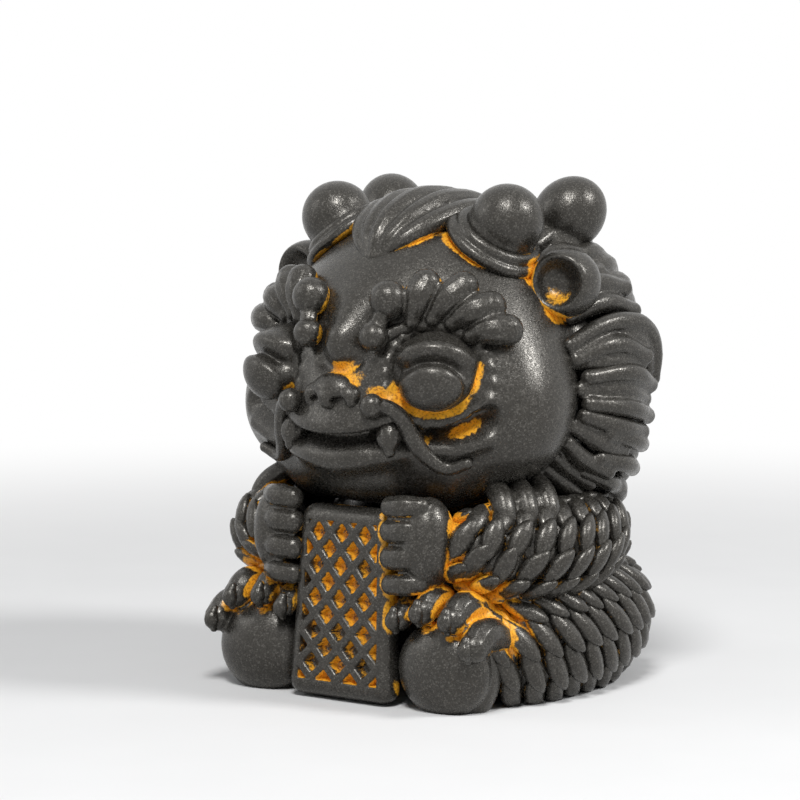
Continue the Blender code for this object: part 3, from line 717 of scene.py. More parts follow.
@dataclass
class Mane:
    """Tufts of rolled strands behind the cheeks and down the back of the head."""

    skull: Skull
    back_locks: int = 5
    back_spread: float = 28.0
    rise: float = 6.4
    strand_radius: float = 1.5
    layer: float = 0.9
    strands: tuple[tuple[tuple[Angles, ...], ...], ...] = (
        (
            ((95, 38), (107, 38.5), (118, 35)),
            ((95, 30), (108, 31), (120, 27)),
            ((95, 23), (108, 24.5), (121, 20)),
            ((96, 16.5), (109, 18), (120, 13.5)),
        ),
        (
            ((91, 7), (102, 11.5), (111, 11.2), (118.5, 8), (123, 2), (125, -5)),
            ((105, 7.5), (113, 7.0), (119.5, 2.5), (122, -3)),
            ((92, 2.2), (104, 5.6), (116, 1.4)),
            ((92, 1.2), (104, 0.8), (116, -0.4)),
        ),
        (
            ((95, -3.6), (109, -2.6), (121, -6.4)),
            ((94, -7.6), (109, -7.4), (122, -10.4)),
            ((95, -11.6), (109, -12.2), (121, -14.4)),
        ),
        (
            ((94, -15.4), (107, -17.4), (118, -18.4)),
            ((92, -19.4), (103, -23), (113, -24.6)),
            ((103, -19.5), (115, -20.5), (126, -22)),
        ),
        (
            ((90, -24.4), (97, -28.2), (108, -30.2)),
            ((89, -30), (97, -33.6), (107, -35.6)),
            ((103, -27), (114, -27), (126, -28.4)),
        ),
        (
            ((90, -36), (98, -38.6), (108, -40.4)),
            ((102, -33), (114, -33.4), (126, -34.6)),
        ),
    )
    rear_levels: tuple[tuple[float, ...], ...] = (
        (43.5, 38, 32.5, 27, 21.5, 15.5),
        (9.5, 4, -2),
        (-7.5, -12),
        (-16, -20.5),
        (-25, -30),
        (-35, -40),
    )
    cores: tuple[Angles, ...] = ((105, -1.6), (118, 0.4), (132, 2.0), (145, 2.6))
    over_arm: tuple[tuple[float, float], ...] = ((19.4, -15.6), (21.0, -12.2), (22.2, -8.6))

    def build(self) -> list[Piece]:
        """Shapes every tuft."""
        left = [self.side_lock(i) for i in range(len(self.strands))]
        return [*left, *map(mirrored, left), *[self.back_lock(i) for i in range(self.back_locks)]]

    def girths(self, *shares: float) -> list[float]:
        """Radii of a roll as shares of a strand's radius."""
        return [self.strand_radius * share for share in shares]

    def lift(self, azimuth: float, elevation: float) -> float:
        """Height of a strand above the skin, which grows away from the cheek and towards the neck.

        Args:
            azimuth: Degrees from the front.
            elevation: Degrees above the horizon.

        Returns:
            The height in millimetres.
        """
        turns = (89, 93, 97, 103, 110, 117, 123, 127)
        base = float(np.interp(azimuth, turns, (0, 0.9, 2.6, 5.0, 7.2, 8.8, 9.5, 9.6)))
        low = min(max((-elevation - 8.0) / 25.0, 0.0), 1.0)
        high = min(max((elevation - 10.0) / 25.0, 0.0), 1.0)
        return base * (1.0 + 0.22 * low - 0.5 * high)

    def side_lock(self, index: int) -> Piece:
        """A tuft whose strands stand out from behind the cheek, in layers.

        Args:
            index: Which tuft, from the top.

        Returns:
            The tuft on the left side.
        """
        parts: list[Obj] = []
        for k, strand in enumerate(self.strands[index]):
            points = [self.skull.at(a, e, self.lift(a, e) - self.layer * (k % 2)) for a, e in strand]
            swell = np.interp(np.linspace(0, 1, len(strand)), (0, 0.4, 0.8, 1), (0.8, 1.0, 1.08, 0.9))
            parts += roll(points, self.girths(*swell.tolist()))
        parts += self.rear_rolls(self.rear_levels[index])
        if index == len(self.strands) - 1:
            parts += self.arm_rolls()
        obj = fused(f"mane_tuft_left_{index + 1}", parts, 0.31)
        return Piece(obj, (f"mane_lock_left_{index + 1}",), 0.2)

    def rear_rolls(self, levels: Sequence[float]) -> list[Obj]:
        """Strands that sweep round to the back of the head, and the clay under them.

        Args:
            levels: Elevation of each strand in degrees.

        Returns:
            The new mesh objects.
        """
        at = self.skull.at
        parts: list[Obj] = []
        for k, level in enumerate(levels):
            start = 109 + 5 * (k % 2)
            high = 7.2 + max(0.0, -level - 12.0) * 0.2 - max(0.0, level - 25.0) * 0.15
            points = [
                at(start, level + 2.5, high * 0.3),
                at(start + 13, level + 1.5, high * 0.86),
                at(start + 27, level - 3.5, high),
                at(150, level - 11.0, 7.0),
                at(155, level - 19.0, 6.0),
            ]
            parts += roll(points, self.girths(0.8, 1.08, 1.25, 1.25, 1.0))
        middle = sum(levels) / len(levels)
        for azimuth, depth in self.cores:
            for level in (middle - 4, middle + 4):
                core = at(azimuth, level, depth)
                parts.append(ball(core, (4.4, 4.4, 3.6), self.skull.out(core)))
        return parts

    def arm_rolls(self) -> list[Obj]:
        """Three short rolls that hang over the top of the arm.

        Returns:
            The new mesh objects.
        """
        parts: list[Obj] = []
        for x, y in self.over_arm:
            points = [
                (x - 2.8, y + 2.6, 32.6),
                (x + 0.4, y + 0.9, 31.0),
                (x + 2.6, y - 0.5, 28.4),
                (x + 3.4, y - 1.0, 25.8),
            ]
            parts += roll(points, [1.3, 1.75, 1.8, 1.2])
        return parts

    def back_lock(self, index: int) -> Piece:
        """A tuft of three strands that hangs from the crown down the back of the head.

        Args:
            index: Which tuft, from the left.

        Returns:
            The tuft.
        """
        azimuth = 180.0 - (2.0 * index / (self.back_locks - 1) - 1.0) * self.back_spread
        at, rise = self.skull.at, self.rise
        parts: list[Obj] = []
        for k in (-1, 0, 1):
            spread = 4.7 * k
            points = [
                at(azimuth + spread * 1.2, 64, 0.4),
                at(azimuth + spread, 36, rise * 0.8),
                at(azimuth + spread, 8, rise + 1.8 - 0.7 * abs(k)),
                at(azimuth + spread, -18, rise + 2.4 - 0.7 * abs(k)),
                at(azimuth + spread * 0.8, -40 + 4 * abs(k), rise + 1.6),
            ]
            parts += roll(points, self.girths(0.7, 0.95, 1.05, 1.05, 0.85))
        for elevation in (34, 16, -2, -20, -34):
            core = at(azimuth, elevation, rise * 0.1)
            parts.append(ball(core, (4.4, 4.6, 4.6), self.skull.out(core)))
        obj = fused(f"mane_fall_back_{index + 1}", parts, 0.33)
        return Piece(obj, (f"mane_lock_back_{index + 1}",), 0.2)


@dataclass
class ScaleCoat:
    """A coat of leaf-shaped scales, modelled once and copied over a form."""

    length: float
    width: float
    ridge: float

    def __post_init__(self) -> None:
        """Models the leaf, which is pointed at both ends and has a ridge."""
        deselect()
        bpy.ops.mesh.primitive_uv_sphere_add(segments=10, ring_count=8, radius=1.0)
        self.leaf = bpy.context.active_object
        self.leaf.data.transform(Matrix.Rotation(math.radians(90), 4, "Y"))
        x, y, z = points_of(self.leaf).T
        inside = np.clip(1.0 - x * x, 0, 1)
        around = np.maximum(np.sqrt(inside), 1e-3)
        wide = inside**0.72
        across, upwards = y / around * wide * self.width / 2, z / around * wide**0.8 * self.ridge
        moved(self.leaf, np.stack([x * self.length / 2, across, upwards], axis=1))

    def lay(self, place: Vector, out: Vector, tip: Vector, lean: float = 0.0) -> Obj:
        """Lays one scale on a form, with its tip a little off the skin.

        Args:
            place: Where it lies.
            out: Way out of the form.
            tip: Way that its tip points.
            lean: Degrees that one long edge stands off.

        Returns:
            The new mesh object.
        """
        along = (tip - out * tip.dot(out)).normalized()
        turn = Matrix((along, out.cross(along), out)).transposed().to_4x4()
        tilt = Matrix.Rotation(math.radians(-8.0), 4, "Y") @ Matrix.Rotation(math.radians(lean), 4, "X")
        obj = copied(self.leaf)
        obj.data.transform(Matrix.Translation(place) @ turn @ tilt)
        return obj

    def discard(self) -> None:
        """Removes the model leaf."""
        bpy.data.objects.remove(self.leaf)


@dataclass(frozen=True)
class Limb:
    """A round limb along a curve through three points, with its full size across and upwards."""

    points: tuple[Triple, ...]
    width: float
    height: float

    def core(self, t: float) -> Vector:
        """Point of the core at a share of its length."""
        a, b, c = map(Vector, self.points)
        return a * ((1 - t) * (1 - 2 * t)) + b * (4 * t * (1 - t)) + c * (t * (2 * t - 1))

    def fullness(self, t: float) -> float:
        """Share of the full girth, which drops towards the ends."""
        return (1.0 - abs(2 * t - 1) ** 3.2) ** 0.5

    def axes(self, t: float) -> tuple[Vector, Vector, Vector]:
        """Ways along the limb, across it and up it.

        Args:
            t: Share of the length.

        Returns:
            Three unit vectors.
        """
        along = (self.core(min(t + 0.02, 1.0)) - self.core(max(t - 0.02, 0.0))).normalized()
        across = along.cross(UP).normalized()
        return along, across, across.cross(along)

    def skin(self, t: float, turn: float) -> tuple[Vector, Vector, Vector]:
        """A spot on the skin.

        Args:
            t: Share of the length.
            turn: Degrees round the core, 0 outwards and 90 up.

        Returns:
            The place, the way out and the way along the limb.
        """
        along, across, up = self.axes(t)
        if across.x < 0:
            across = -across
        full, a = self.fullness(t), math.radians(turn)
        arm = across * (math.cos(a) * self.width / 2 * full) + up * (math.sin(a) * self.height / 2 * full)
        out = across * (math.cos(a) / self.width) + up * (math.sin(a) / self.height)
        out = (out.normalized() + along * (2 * t - 1) * 0.35).normalized()
        return self.core(t) + arm, out, along

    def spots(
        self, rows: Sequence[Angles], count: int, first: float, step: float
    ) -> Iterator[tuple[float, Vector, Vector, Vector, Vector]]:
        """Staggered spots for scales on the skin.

        Args:
            rows: Turn round the core of each row, and the share of the length where it stops.
            count: Most spots in a row.
            first: Share of the length where the rows start.
            step: Share of the length from spot to spot.

        Yields:
            Share of the length, place, way out, way along the limb and way up round it.
        """
        for row, (turn, end) in enumerate(rows):
            for k in range(count):
                t = first + step * (k + 0.5 * (row % 2))
                if t < end:
                    place, out, along = self.skin(t, turn)
                    around = out.cross(along)
                    yield t, place, out, along, around if around.z > 0 else -around

    def body(self) -> list[Obj]:
        """Balls along the core that fuse into the limb.

        Returns:
            The new mesh objects.
        """
        parts = []
        for t in (step / 14 for step in range(15)):
            along, across, up = self.axes(t)
            full = max(0.3, self.fullness(t))
            obj = ball((0, 0, 0), (self.width / 2 * full, 2.6, self.height / 2 * full), segments=24)
            turn = Matrix((across, along, up)).transposed().to_4x4()
            obj.data.transform(Matrix.Translation(self.core(t)) @ turn)
            parts.append(obj)
        return parts


@dataclass
class Limbs:
    """Scaly arms and thighs, paws and feet."""

    arm_form: Limb = Limb(((21.4, 11.4, 24.0), (23.4, -8.0, 21.8), (13.8, -21.6, 23.8)), 11.2, 12.0)
    arm_leaf: Triple = (6.8, 3.5, 1.2)
    arm_rows: tuple[Angles, ...] = tuple((turn, 0.94) for turn in (-88, -50, -12, 26, 64, 102))
    thigh_form: Limb = Limb(((17.2, 22.1, 10.6), (20.6, 0.0, 8.8), (16.4, -20.8, 8.2)), 15.6, 18.0)
    thigh_leaf: Triple = (8.4, 3.6, 1.25)
    thigh_rows: tuple[Angles, ...] = (
        *((turn, 0.95) for turn in (-50, -18, 14)),
        *((turn, 0.88) for turn in (46, 78, 110)),
    )
    sole: Triple = (16.4, -23.0, 6.0)
    paw: Triple = (12.6, -22.8, 23.8)
    fingers: tuple[float, ...] = (1.75, 1.95, 1.95, 1.7)
    toes: tuple[Triple, ...] = (
        (-5.9, 8.6, 1.95),
        (-1.8, 10.0, 2.1),
        (3.2, 9.3, 2.3),
        (6.6, 5.6, 2.45),
    )

    def build(self) -> list[Piece]:
        """Shapes every limb."""
        left = [self.arm(), self.forepaw(), self.thigh(), self.foot()]
        return [*left, *map(mirrored, left)]

    def arm(self) -> Piece:
        """A forearm with leaf scales that lean back and up.

        Returns:
            The left arm.
        """
        coat, hand = ScaleCoat(*self.arm_leaf), np.random.default_rng(11)
        parts = [fused("arm_core", self.arm_form.body(), 0.3, 3)]
        for t, place, out, along, around in self.arm_form.spots(self.arm_rows, 10, 0.06, 0.1):
            steep = (0.95 if t > 0.75 else 0.85) + hand.uniform(-0.05, 0.04)
            tip = along * -((1 - steep * steep) ** 0.5) + around * steep
            place = place + out * hand.uniform(0.15, 0.45)
            parts.append(coat.lay(place, out, tip, 20.0 + hand.uniform(-6, 6)))
        coat.discard()
        return Piece(joined("arm_scaled_left", parts), ("arm_left",), 0.42)

    def thigh(self) -> Piece:
        """A thigh with long leaf scales that point back and down.

        Returns:
            The left thigh.
        """
        coat, hand = ScaleCoat(*self.thigh_leaf), np.random.default_rng(5)
        parts = [fused("thigh_core", self.thigh_form.body(), 0.42, 3)]
        for _, place, out, along, around in self.thigh_form.spots(self.thigh_rows, 12, 0.07, 0.086):
            tip = -along * (0.55 + hand.uniform(-0.1, 0.1)) - around * 0.84
            place = place + out * hand.uniform(0.15, 0.45)
            parts.append(coat.lay(place, out, tip, -18.0 + hand.uniform(-6, 6)))
        coat.discard()
        return Piece(seated(joined("thigh_scaled_left", parts)), ("thigh_left",), 0.42)

    def forepaw(self) -> Piece:
        """A palm with four fingers that close on the tablet's edge.

        Returns:
            The left paw.
        """
        x, y, z = self.paw
        parts = [ball((x + 0.8, y, z), (3.9, 4.3, 6.8), segments=40)]
        level = z + 5.5
        for fat in self.fingers:
            points = [(x + 0.8, y - 1.9, level), (x - 1.2, y - 3.0, level), (x - 3.7, y - 2.8, level - 0.2)]
            parts += roll(points, [fat * 0.85, fat, fat * 0.92])
            level -= fat * 1.98
        return Piece(fused("forepaw_fist_left", parts, 0.2, 1), ("forepaw_left",), 0.45)

    def foot(self) -> Piece:
        """A smooth sole with four toes over it, each with a claw.

        Returns:
            The left foot.
        """
        pad = Vector(self.sole)
        parts = [
            ball(pad, (7.5, 4.6, 7.0), segments=48),
            ball(pad + Vector((0, 2.6, -0.6)), (7.3, 5.0, 8.0), segments=48),
            ball(pad + Vector((0, 4.8, 5.0)), (7.4, 4.2, 5.2), segments=40),
        ]
        claws: list[Obj] = []
        for aside, above, fat in self.toes:
            seat = pad + Vector((aside, 0, above))
            end = seat + Vector((0.02 * aside, -2.5, -1.5))
            start = seat + Vector((-0.05 * aside, 4.6, -1.0))
            parts += roll([start, seat, end], [fat * 0.9, fat * 1.02, fat * 0.9])
            tip = end + Vector((-0.2, -fat * 0.8, -0.2))
            hook = [tip + Vector((-0.1, 0.5, 1.5)), tip, tip + Vector((0.1, 0.6, -1.4))]
            claws.append(fused("claw", roll(hook, [0.7, 1.2, 0.6]), 0.16, 1))
        body = fused("foot_body", parts, 0.26)
        return Piece(seated(joined("foot_sole_left", [body, *claws])), ("foot_left",), 0.5)


@dataclass
class Body:
    """Torso with a scaly back, and tail."""

    centre: Triple = (0.0, TORSO_BACK, 14.0)
    radii: Triple = (22.6, 21.6, 22.6)
    leaf: Triple = (7.4, 3.9, 1.15)
    rows: int = 10

    def build(self) -> list[Piece]:
        """Shapes torso and tail."""
        return [self.torso(), self.tail()]

    def torso(self) -> Piece:
        """The seated body with rows of leaf scales down its back and sides.

        Returns:
            The torso.
        """
        coat, size = ScaleCoat(*self.leaf), Matrix.Diagonal(self.radii)
        parts = [fused("torso_core", [ball(self.centre, self.radii, segments=64)], 0.8, 2)]
        for row in range(self.rows):
            elevation = -30 + 8.6 * row
            count = max(6, int(30 * math.cos(math.radians(elevation))))
            for k in range(count):
                azimuth = 180 + 250 * ((k + 0.5 * (row % 2)) / (count - 0.5) - 0.5)
                way = heading(azimuth, elevation)
                out = (size.inverted() @ way).normalized()
                parts.append(coat.lay(Vector(self.centre) + size @ way + out * 0.05, out, -UP))
        coat.discard()
        return Piece(seated(joined("torso_scaled", parts)), ("torso",), 0.5)

    def tail(self) -> Piece:
        """A tuft of strands that lies on the back.

        Returns:
            The tail.
        """
        parts: list[Obj] = []
        for k in (-2, -1, 0, 1, 2):
            points = [
                (0.9 * k, 26.2, 2.6),
                (2.2 * k, 29.6 - 0.5 * abs(k), 9.0),
                (2.0 * k, 29.4 - 0.6 * abs(k), 18.0),
                (0.8 * k, 25.2, 27.6 - 1.2 * abs(k)),
            ]
            parts += roll(points, [1.4, 1.55, 1.45, 0.9])
        parts.append(ball((0, 26.0, 12.0), (4.6, 3.2, 10.0)))
        return Piece(fused("tail_tuft", parts, 0.24), ("tail",), 0.4)


@dataclass
class Tablet:
    """An upright plate with a cut lattice, narrower at its top and leaning back."""

    bottom_width: float = 18.8
    top_width: float = 16.0
    height: float = 28.2
    thickness: float = 4.6
    corner: float = 2.2
    forward: float = 27.4
    lean: float = 3.7
    clearance: float = 0.4
    border: Triple = (2.2, 2.6, 2.4)
    strip: float = 1.35
    depth: float = 1.7

    def build(self) -> list[Piece]:
        """Shapes the plate, draws its top in, rounds its corners and presses the lattice into its front.

        Returns:
            The tablet.
        """
        deselect()
        bpy.ops.mesh.primitive_cube_add(size=1.0)
        obj = bpy.context.active_object
        size = Matrix.Diagonal((self.bottom_width, self.thickness, self.height, 1.0))
        obj.data.transform(Matrix.Translation((0, self.thickness / 2, self.height / 2)) @ size)
        places = points_of(obj)
        places[:, 0] *= self.drawn_in(places[:, 2])
        moved(obj, places)
        bpy.ops.object.mode_set(mode="EDIT")
        bpy.ops.mesh.select_all(action="SELECT")
        bpy.ops.mesh.bevel(offset=self.corner, segments=6, profile=0.5)
        bpy.ops.object.mode_set(mode="OBJECT")
        plate = fused("tablet_plate", [obj], 0.19, 3)
        places = points_of(plate)
        facing = np.clip((-normals_of(plate)[:, 1] - 0.6) / 0.3, 0, 1) * (places[:, 1] < 0.6)
        places[:, 1] += facing * self.lattice(places[:, 0] / self.drawn_in(places[:, 2]), places[:, 2])
        moved(plate, places)
        lean = Matrix.Rotation(math.radians(-self.lean), 4, "X")
        plate.data.transform(Matrix.Translation((0, -self.forward, self.clearance)) @ lean)
        return [Piece(plate, ("tablet",), 1.0)]

    def drawn_in(self, z: Rows) -> Rows:
        """Share of the bottom width at each height."""
        return 1.0 + (self.top_width / self.bottom_width - 1.0) * z / self.height

    def lattice(self, x: Rows, z: Rows) -> Rows:
        """Depth of the sunk openings of a lozenge lattice.

        Args:
            x: Places across the plate.
            z: Places up the plate.

        Returns:
            Depth in millimetres at each place.
        """
        aside, below, above = self.border
        half, z = self.bottom_width / 2 - aside, z - below
        pitch = half * 2 / 3
        edge = np.minimum(half - np.abs(x), np.minimum(z, self.height - above - below - z))
        for cross in ((x + z) / pitch, (x - z) / pitch):
            bar = np.abs(cross - np.round(cross)) * pitch / math.sqrt(2)
            edge = np.minimum(edge, bar - self.strip / 2)
        return self.depth * np.clip(edge / 0.4 + 0.3, 0, 1)


@dataclass(frozen=True)
class Dab:
    """A spot where the brush left more of the wash, or wiped it off where its strength is negative.

    Its spill is the share of the strength that lies on open skin as well as in recesses.
    """

    centre: Triple
    radius: float
    strength: float
    spill: float = 0.0

    def near(self, places: Rows) -> Rows:
        """Strength of the dab at each place."""
        return self.strength * bell(np.linalg.norm(places - np.array(self.centre), axis=1), 0.0, self.radius)


class Wash:
    """Ochre wash that settles in recesses, kept as a vertex attribute."""

    NAME = "wash"
    REACH = 1.5

    def __init__(self, pieces: Sequence[Piece], dabs: Sequence[Dab]) -> None:
        """Gathers the skins of all pieces.

        Args:
            pieces: Every shaped piece.
            dabs: Where the brush left more of the wash, or wiped it off.
        """
        places, faces, start = [], [], 0
        for piece in pieces:
            mesh = piece.obj.data
            places += points_of(piece.obj).tolist()
            faces += [[v + start for v in p.vertices] for p in mesh.polygons]
            start += len(mesh.vertices)
        self.tree = BVHTree.FromPolygons(places, faces)
        self.dabs = dabs

    def closed_in(self, place: Vector, normal: Vector) -> float:
        """How closed in a spot is.

        Args:
            place: The spot.
            normal: Way out of the skin.

        Returns:
            0 in the open, 1 in a tight recess.
        """
        probe = place + normal * self.REACH
        spot, out, _, gap = self.tree.find_nearest(probe)
        if (probe - spot).dot(out) < 0:
            return 1.0
        return max(0.0, 1.0 - gap / self.REACH)

    def settle(self, piece: Piece) -> None:
        """Writes the wash of a piece.

        Args:
            piece: The piece, which copies the values of its twin if it has one.
        """
        mesh = piece.obj.data
        layer = mesh.attributes.new(self.NAME, "FLOAT", "POINT")
        values = np.empty(len(mesh.vertices), np.float32)
        if piece.twin:
            piece.twin.obj.data.attributes[self.NAME].data.foreach_get("value", values)
        else:
            places = points_of(piece.obj)
            for k, (place, normal) in enumerate(zip(places, normals_of(piece.obj))):
                values[k] = self.closed_in(Vector(place), Vector(normal))
            amount, spill = np.full(len(places), piece.wash), np.zeros(len(places))
            for dab in self.dabs:
                near = dab.near(places)
                amount += near
                spill += dab.spill * near
            values = values * np.maximum(amount, 0.0) + spill
        layer.data.foreach_set("value", values.astype(np.float32))


class Graph:
    """Nodes of a material or a world, each added and linked in one step."""

    def __init__(self, owner: bpy.types.Material | bpy.types.World) -> None:
        """Opens the nodes.

        Args:
            owner: The material or world that they belong to.
        """
        owner.use_nodes = True
        self.nodes = owner.node_tree.nodes
        self.links = owner.node_tree.links

    def feed(self, node: Node, inputs: Inputs) -> None:
        """Sets or links inputs of a node.

        Args:
            node: The node.
            inputs: A value or a socket for each input, by its name or place.
        """
        for key, value in inputs.items():
            if isinstance(value, Socket):
                self.links.new(value, node.inputs[key])
            else:
                node.inputs[key].default_value = value

    def add(self, kind: str, inputs: Inputs | None = None, **settings: object) -> Node:
        """Adds a node.

        Args:
            kind: Its type, without the prefix that all shader nodes have.
            inputs: A value or a socket for each input, by its name or place.
            **settings: Its other values.

        Returns:
            The new node.
        """
        node = self.nodes.new(f"ShaderNode{kind}")
        for name, value in settings.items():
            setattr(node, name, value)
        self.feed(node, inputs or {})
        return node

    def noise(self, place: Socket, scale: float, detail: float = 2.0, rough: float = 0.5) -> Socket:
        """A noise on given coordinates."""
        inputs = {"Vector": place, "Scale": scale, "Detail": detail, "Roughness": rough}
        return self.add("TexNoise", inputs).outputs["Fac"]

    def between(self, value: Socket, low: float, high: float, a: float = 0.0, b: float = 1.0) -> Socket:
        """Smooth step of a value from one range to another."""
        inputs = {"Value": value, "From Min": low, "From Max": high, "To Min": a, "To Max": b}
        return self.add("MapRange", inputs, interpolation_type="SMOOTHSTEP").outputs["Result"]

    def math(self, kind: str, first: Socket, second: Socket | float) -> Socket:
        """Result of an operation on two numbers."""
        return self.add("Math", {0: first, 1: second}, operation=kind).outputs[0]

    def mixed(self, share: Socket, first: Socket | Colour, second: Socket | Colour) -> Socket:
        """Colour between two colours."""
        return self.add("Mix", {"Factor": share, 6: first, 7: second}, data_type="RGBA").outputs[2]

    def seen(self) -> Socket:
        """One for rays from the camera, gloss or glass, and none for rays that light the object.

        Returns:
            The share of white.
        """
        path = self.add("LightPath").outputs
        shown = self.math("MAXIMUM", path["Is Camera Ray"], path["Is Glossy Ray"])
        return self.math("MAXIMUM", shown, path["Is Transmission Ray"])

    def blend(self, end: str, share: Socket, first: Socket, second: Socket) -> None:
        """Ends the graph in a blend of two shaders."""
        mix = self.add("MixShader", {"Fac": share, 1: first, 2: second})
        self.feed(self.nodes[end], {"Surface": mix.outputs["Shader"]})


@dataclass(frozen=True)
class IronSandClay:
    """Dark clay full of fine iron grains, with worn ochre wash in its recesses."""

    clay: Colour = (0.012, 0.011, 0.0094, 1.0)
    clay_light: Colour = (0.030, 0.0276, 0.0236, 1.0)
    grain: Colour = (0.24, 0.23, 0.21, 1.0)
    ochre: Colour = (0.90, 0.44, 0.03, 1.0)
    ochre_dark: Colour = (0.42, 0.15, 0.014, 1.0)
    gleam: Colour = (1.0, 0.96, 0.89, 1.0)
    grains_per_metre: float = 5600.0
    roughness: tuple[float, float] = (0.19, 0.46)
    bump: float = 0.26
    bump_height: float = 0.00009

    def material(self) -> bpy.types.Material:
        """Builds the node material.

        Returns:
            The material for all pieces.
        """
        made = bpy.data.materials.new("iron_sand_clay_washed")
        graph = Graph(made)
        place = graph.add("TexCoord").outputs["Object"]
        wash = graph.add("Attribute", attribute_name=Wash.NAME).outputs["Fac"]
        broad, fine = graph.noise(place, 260.0, 4.0, 0.6), graph.noise(place, 2600.0, 3.0, 0.65)
        wear, fret = graph.between(broad, 0.36, 0.62, 0.72, 1.12), graph.between(fine, 0.3, 0.7, 0.85, 1.1)
        left = graph.math("MULTIPLY", wash, graph.math("MULTIPLY", wear, fret))
        settled = graph.between(left, 0.40, 0.62)
        cells = graph.add("TexVoronoi", {"Vector": place, "Scale": self.grains_per_metre}).outputs
        spark = graph.add("SeparateColor", {"Color": cells["Color"]}).outputs
        grains = graph.between(spark["Red"], 0.70, 1.0)
        body = graph.mixed(graph.between(fine, 0.3, 0.7), self.clay, self.clay_light)
        body = graph.mixed(graph.math("MULTIPLY", grains, 0.4), body, self.grain)
        pigment = graph.mixed(graph.between(fine, 0.30, 0.56), self.ochre_dark, self.ochre)
        matt = graph.math("ADD", graph.math("MULTIPLY", settled, 0.35), spark["Blue"])
        dome = graph.math("MULTIPLY", graph.between(cells["Distance"], 0.0, 0.7, 1.0, 0.0), spark["Green"])
        bump = graph.add("Bump", {"Strength": self.bump, "Distance": self.bump_height, "Height": dome})
        shader = {
            "Base Color": graph.mixed(settled, body, pigment),
            "Metallic": graph.math("MULTIPLY", grains, graph.between(settled, 0.0, 0.6, 0.6, 0.0)),
            "Roughness": graph.between(matt, 0.0, 1.35, *self.roughness),
            "Specular IOR Level": 0.5,
            "Specular Tint": self.gleam,
            "Normal": bump.outputs["Normal"],
        }
        graph.feed(graph.nodes["Principled BSDF"], shader)
        return made


@dataclass
class Studio:
    """Pale floor, soft lamps and the camera."""

    azimuth: float = 35.0
    elevation: float = 6.0
    distance: float = 450.0
    pixels_per_mm: float = 6.6
    frame_pixels: float = 800.0
    centre: tuple[float, float] = (446.0, 425.6)
    target: Triple = (0.0, 0.0, 38.0)
    sensor: float = 36.0
    floor_size: float = 12.0
    floor_tone: tuple[float, float] = (0.80, 0.84)
    floor_fade: tuple[float, float] = (0.10, 0.34)
    sky: Colour = (0.93, 0.96, 1.0, 1.0)
    sky_strength: float = 0.15
    lights: tuple[tuple[str, Triple, float, float], ...] = (
        ("key", (0.20, -0.38, 0.64), 0.24, 3.9),
        ("side", (0.54, 0.16, 0.50), 0.20, 2.9),
        ("fill", (-0.60, -0.45, 0.45), 0.40, 0.7),
    )

    def build(self) -> None:
        """Sets up everything that isn't the object."""
        for step in (self.floor, self.surround, self.lamps, self.camera):
            step()

    def floor(self) -> None:
        """A wide pale floor that takes the shadow and turns white with distance."""
        deselect()
        bpy.ops.mesh.primitive_plane_add(size=self.floor_size)
        plane = named(bpy.context.active_object, "studio_floor")
        made = bpy.data.materials.new("studio_floor")
        graph = Graph(made)
        place = graph.add("TexCoord").outputs["Object"]
        low, high = self.floor_tone
        tone = graph.add("MapRange", {"Value": graph.noise(place, 40.0), "To Min": low, "To Max": high})
        shader = graph.nodes["Principled BSDF"]
        graph.feed(shader, {"Base Color": tone.outputs["Result"], "Roughness": 0.8})
        away = graph.add("VectorMath", {0: place}, operation="LENGTH").outputs["Value"]
        share = graph.math("MULTIPLY", graph.between(away, *self.floor_fade), graph.seen())
        white = graph.add("Emission").outputs["Emission"]
        graph.blend("Material Output", share, shader.outputs["BSDF"], white)
        plane.data.materials.append(made)

    def surround(self) -> None:
        """A white surround that lights the object softly."""
        world = bpy.data.worlds.new("studio")
        graph = Graph(world)
        sky = graph.nodes["Background"]
        graph.feed(sky, {"Color": self.sky, "Strength": self.sky_strength})
        white = graph.add("Background", {"Color": (1.0, 1.0, 1.0, 1.0)}).outputs["Background"]
        graph.blend("World Output", graph.seen(), sky.outputs["Background"], white)
        bpy.context.scene.world = world

    def lamps(self) -> None:
        """Soft lamps: key from above, one from the right and a fill from the left."""
        for name, place, size, power in self.lights:
            deselect()
            bpy.ops.object.light_add(type="AREA", location=place)
            lamp = bpy.context.active_object
            lamp.name = f"lamp_{name}"
            lamp.data.shape = "DISK"
            lamp.data.size = size
            lamp.data.energy = power
            aim = Vector(self.target) * MM - Vector(place)
            lamp.rotation_euler = aim.to_track_quat("-Z", "Y").to_euler()

    def camera(self) -> None:
        """The camera at the photograph's angle."""
        way, target = heading(self.azimuth, self.elevation), Vector(self.target)
        place = target + way * self.distance
        right = heading(self.azimuth + 90.0, 0.0)
        aside, below = ((pixel - self.frame_pixels / 2) / self.pixels_per_mm for pixel in self.centre)
        aim = target - right * aside + right.cross(-way) * below
        data = bpy.data.cameras.new("camera")
        data.sensor_width = self.sensor
        data.lens = self.sensor * self.distance * self.pixels_per_mm / self.frame_pixels
        data.clip_start = 0.01
        obj = bpy.data.objects.new("camera", data)
        obj.location = place * MM
        obj.rotation_euler = (aim - place).to_track_quat("-Z", "Y").to_euler()
        bpy.context.scene.collection.objects.link(obj)
        bpy.context.scene.camera = obj
        bpy.context.scene.view_settings.view_transform = "Standard"


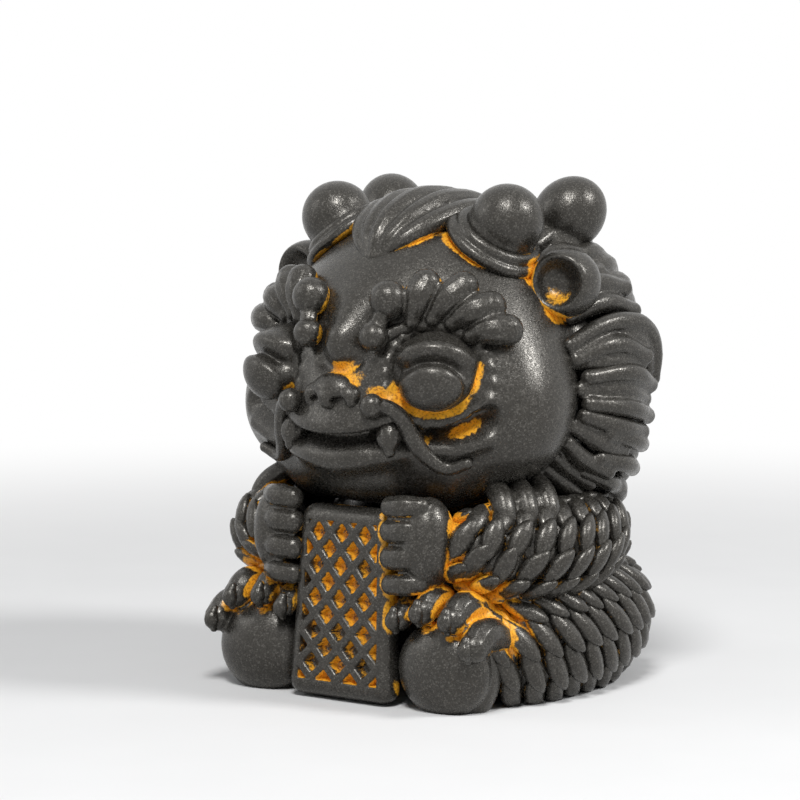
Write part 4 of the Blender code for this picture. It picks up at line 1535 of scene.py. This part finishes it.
def dress(pieces: Sequence[Piece], dabs: Sequence[Dab]) -> None:
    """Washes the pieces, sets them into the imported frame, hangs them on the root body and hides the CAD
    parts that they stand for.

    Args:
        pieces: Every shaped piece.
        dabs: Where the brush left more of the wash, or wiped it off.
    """
    wash = Wash(pieces, dabs)
    material = IronSandClay().material()
    low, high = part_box("torso")
    shift = (low[1] + high[1]) / 2 - TORSO_BACK * MM
    home = Matrix.Translation((0, shift, 0)) @ Matrix.Scale(MM, 4)
    for piece in pieces:
        wash.settle(piece)
    for piece in pieces:
        obj = piece.obj
        obj.data.transform(home)
        obj.data.materials.clear()
        obj.data.materials.append(material)
        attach(obj, "root")
        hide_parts(*piece.nodes)
        LOG.info("%s: %d faces", obj.name, len(obj.data.polygons))


def brush_dabs(skull: Skull) -> list[Dab]:
    """Where the wash lies thick on the left half and the middle of the figure, and where it was wiped.

    Args:
        skull: The head that carries most of them.

    Returns:
        The dabs.
    """
    spots = [
        (skull.at(0, -2.0), 2.6, 0.9, 0.45),
        (skull.at(8, -2.2), 2.4, 0.9, 0.45),
        (skull.at(16, -5.0), 2.2, 0.9, 0.4),
        (skull.at(20.5, -10.0), 2.0, 0.8, 0.35),
        (skull.at(33, -26.5), 1.8, 0.9, 0.1),
        (skull.at(*skull.ear) + Vector((0.6, -3.2, -3.3)), 2.6, 1.0, 0.8),
        ((19.5, -15.4, 28.5), 2.6, 0.8, 0.1),
        (skull.at(90, 33), 2.6, 0.9, 0.45),
        (skull.at(62, 46), 1.8, 0.7, 0.2),
        (skull.at(52, 56), 2.0, 0.8, 0.3),
        (skull.at(22, 56), 3.0, 0.6, 0.1),
        ((12.5, -24.5, 30.6), 3.2, 0.8, 0.3),
        ((16.8, -21.4, 28.2), 2.8, 0.8, 0.2),
        ((17.6, -21.6, 20.6), 2.2, 0.5, 0.1),
        ((21.4, -21.0, 15.4), 3.6, 0.9, 0.5),
        ((23.8, -18.5, 11.6), 3.4, 0.9, 0.45),
        ((16.0, -26.0, 16.0), 4.0, 0.35),
        ((10.4, -24.6, 7.0), 3.4, -1.6),
        (skull.at(0, -23, -1.0), 7.0, -2.0),
        (skull.at(16, -25, -1.0), 5.0, -2.0),
    ]
    spots += [((-9.6, -24.6, height), 3.0, -1.4) for height in (6.0, 11.0, 16.0, 21.0, 26.0)]
    spots += [(skull.at(*skull.round_eye(turn, 18.0)), 2.6, -0.7) for turn in range(30, 151, 24)]
    spots += [(skull.at(*skull.round_eye(turn, 16.2)), 1.7, 0.75, 0.1) for turn in range(170, 346, 22)]
    smile = ((46, -22.0), (49.5, -20.2), (52.5, -17.6))
    spots += [(skull.at(azimuth, elevation, -1.2), 1.2, 0.9, 0.3) for azimuth, elevation in smile]
    return [Dab(tuple(place), *amounts) for place, *amounts in spots]


def main() -> None:
    """Builds the figurine and the studio."""
    logging.basicConfig(level=logging.INFO, format="%(message)s")
    deselect()
    skull = Skull()
    pieces: list[Piece] = []
    for maker in (Face(skull), Crown(skull), Mane(skull), Limbs(), Body(), Tablet()):
        pieces += maker.build()
        LOG.info("%s done", type(maker).__name__)
    dress(pieces, brush_dabs(skull))
    Studio().build()


if __name__ == "__main__":
    main()
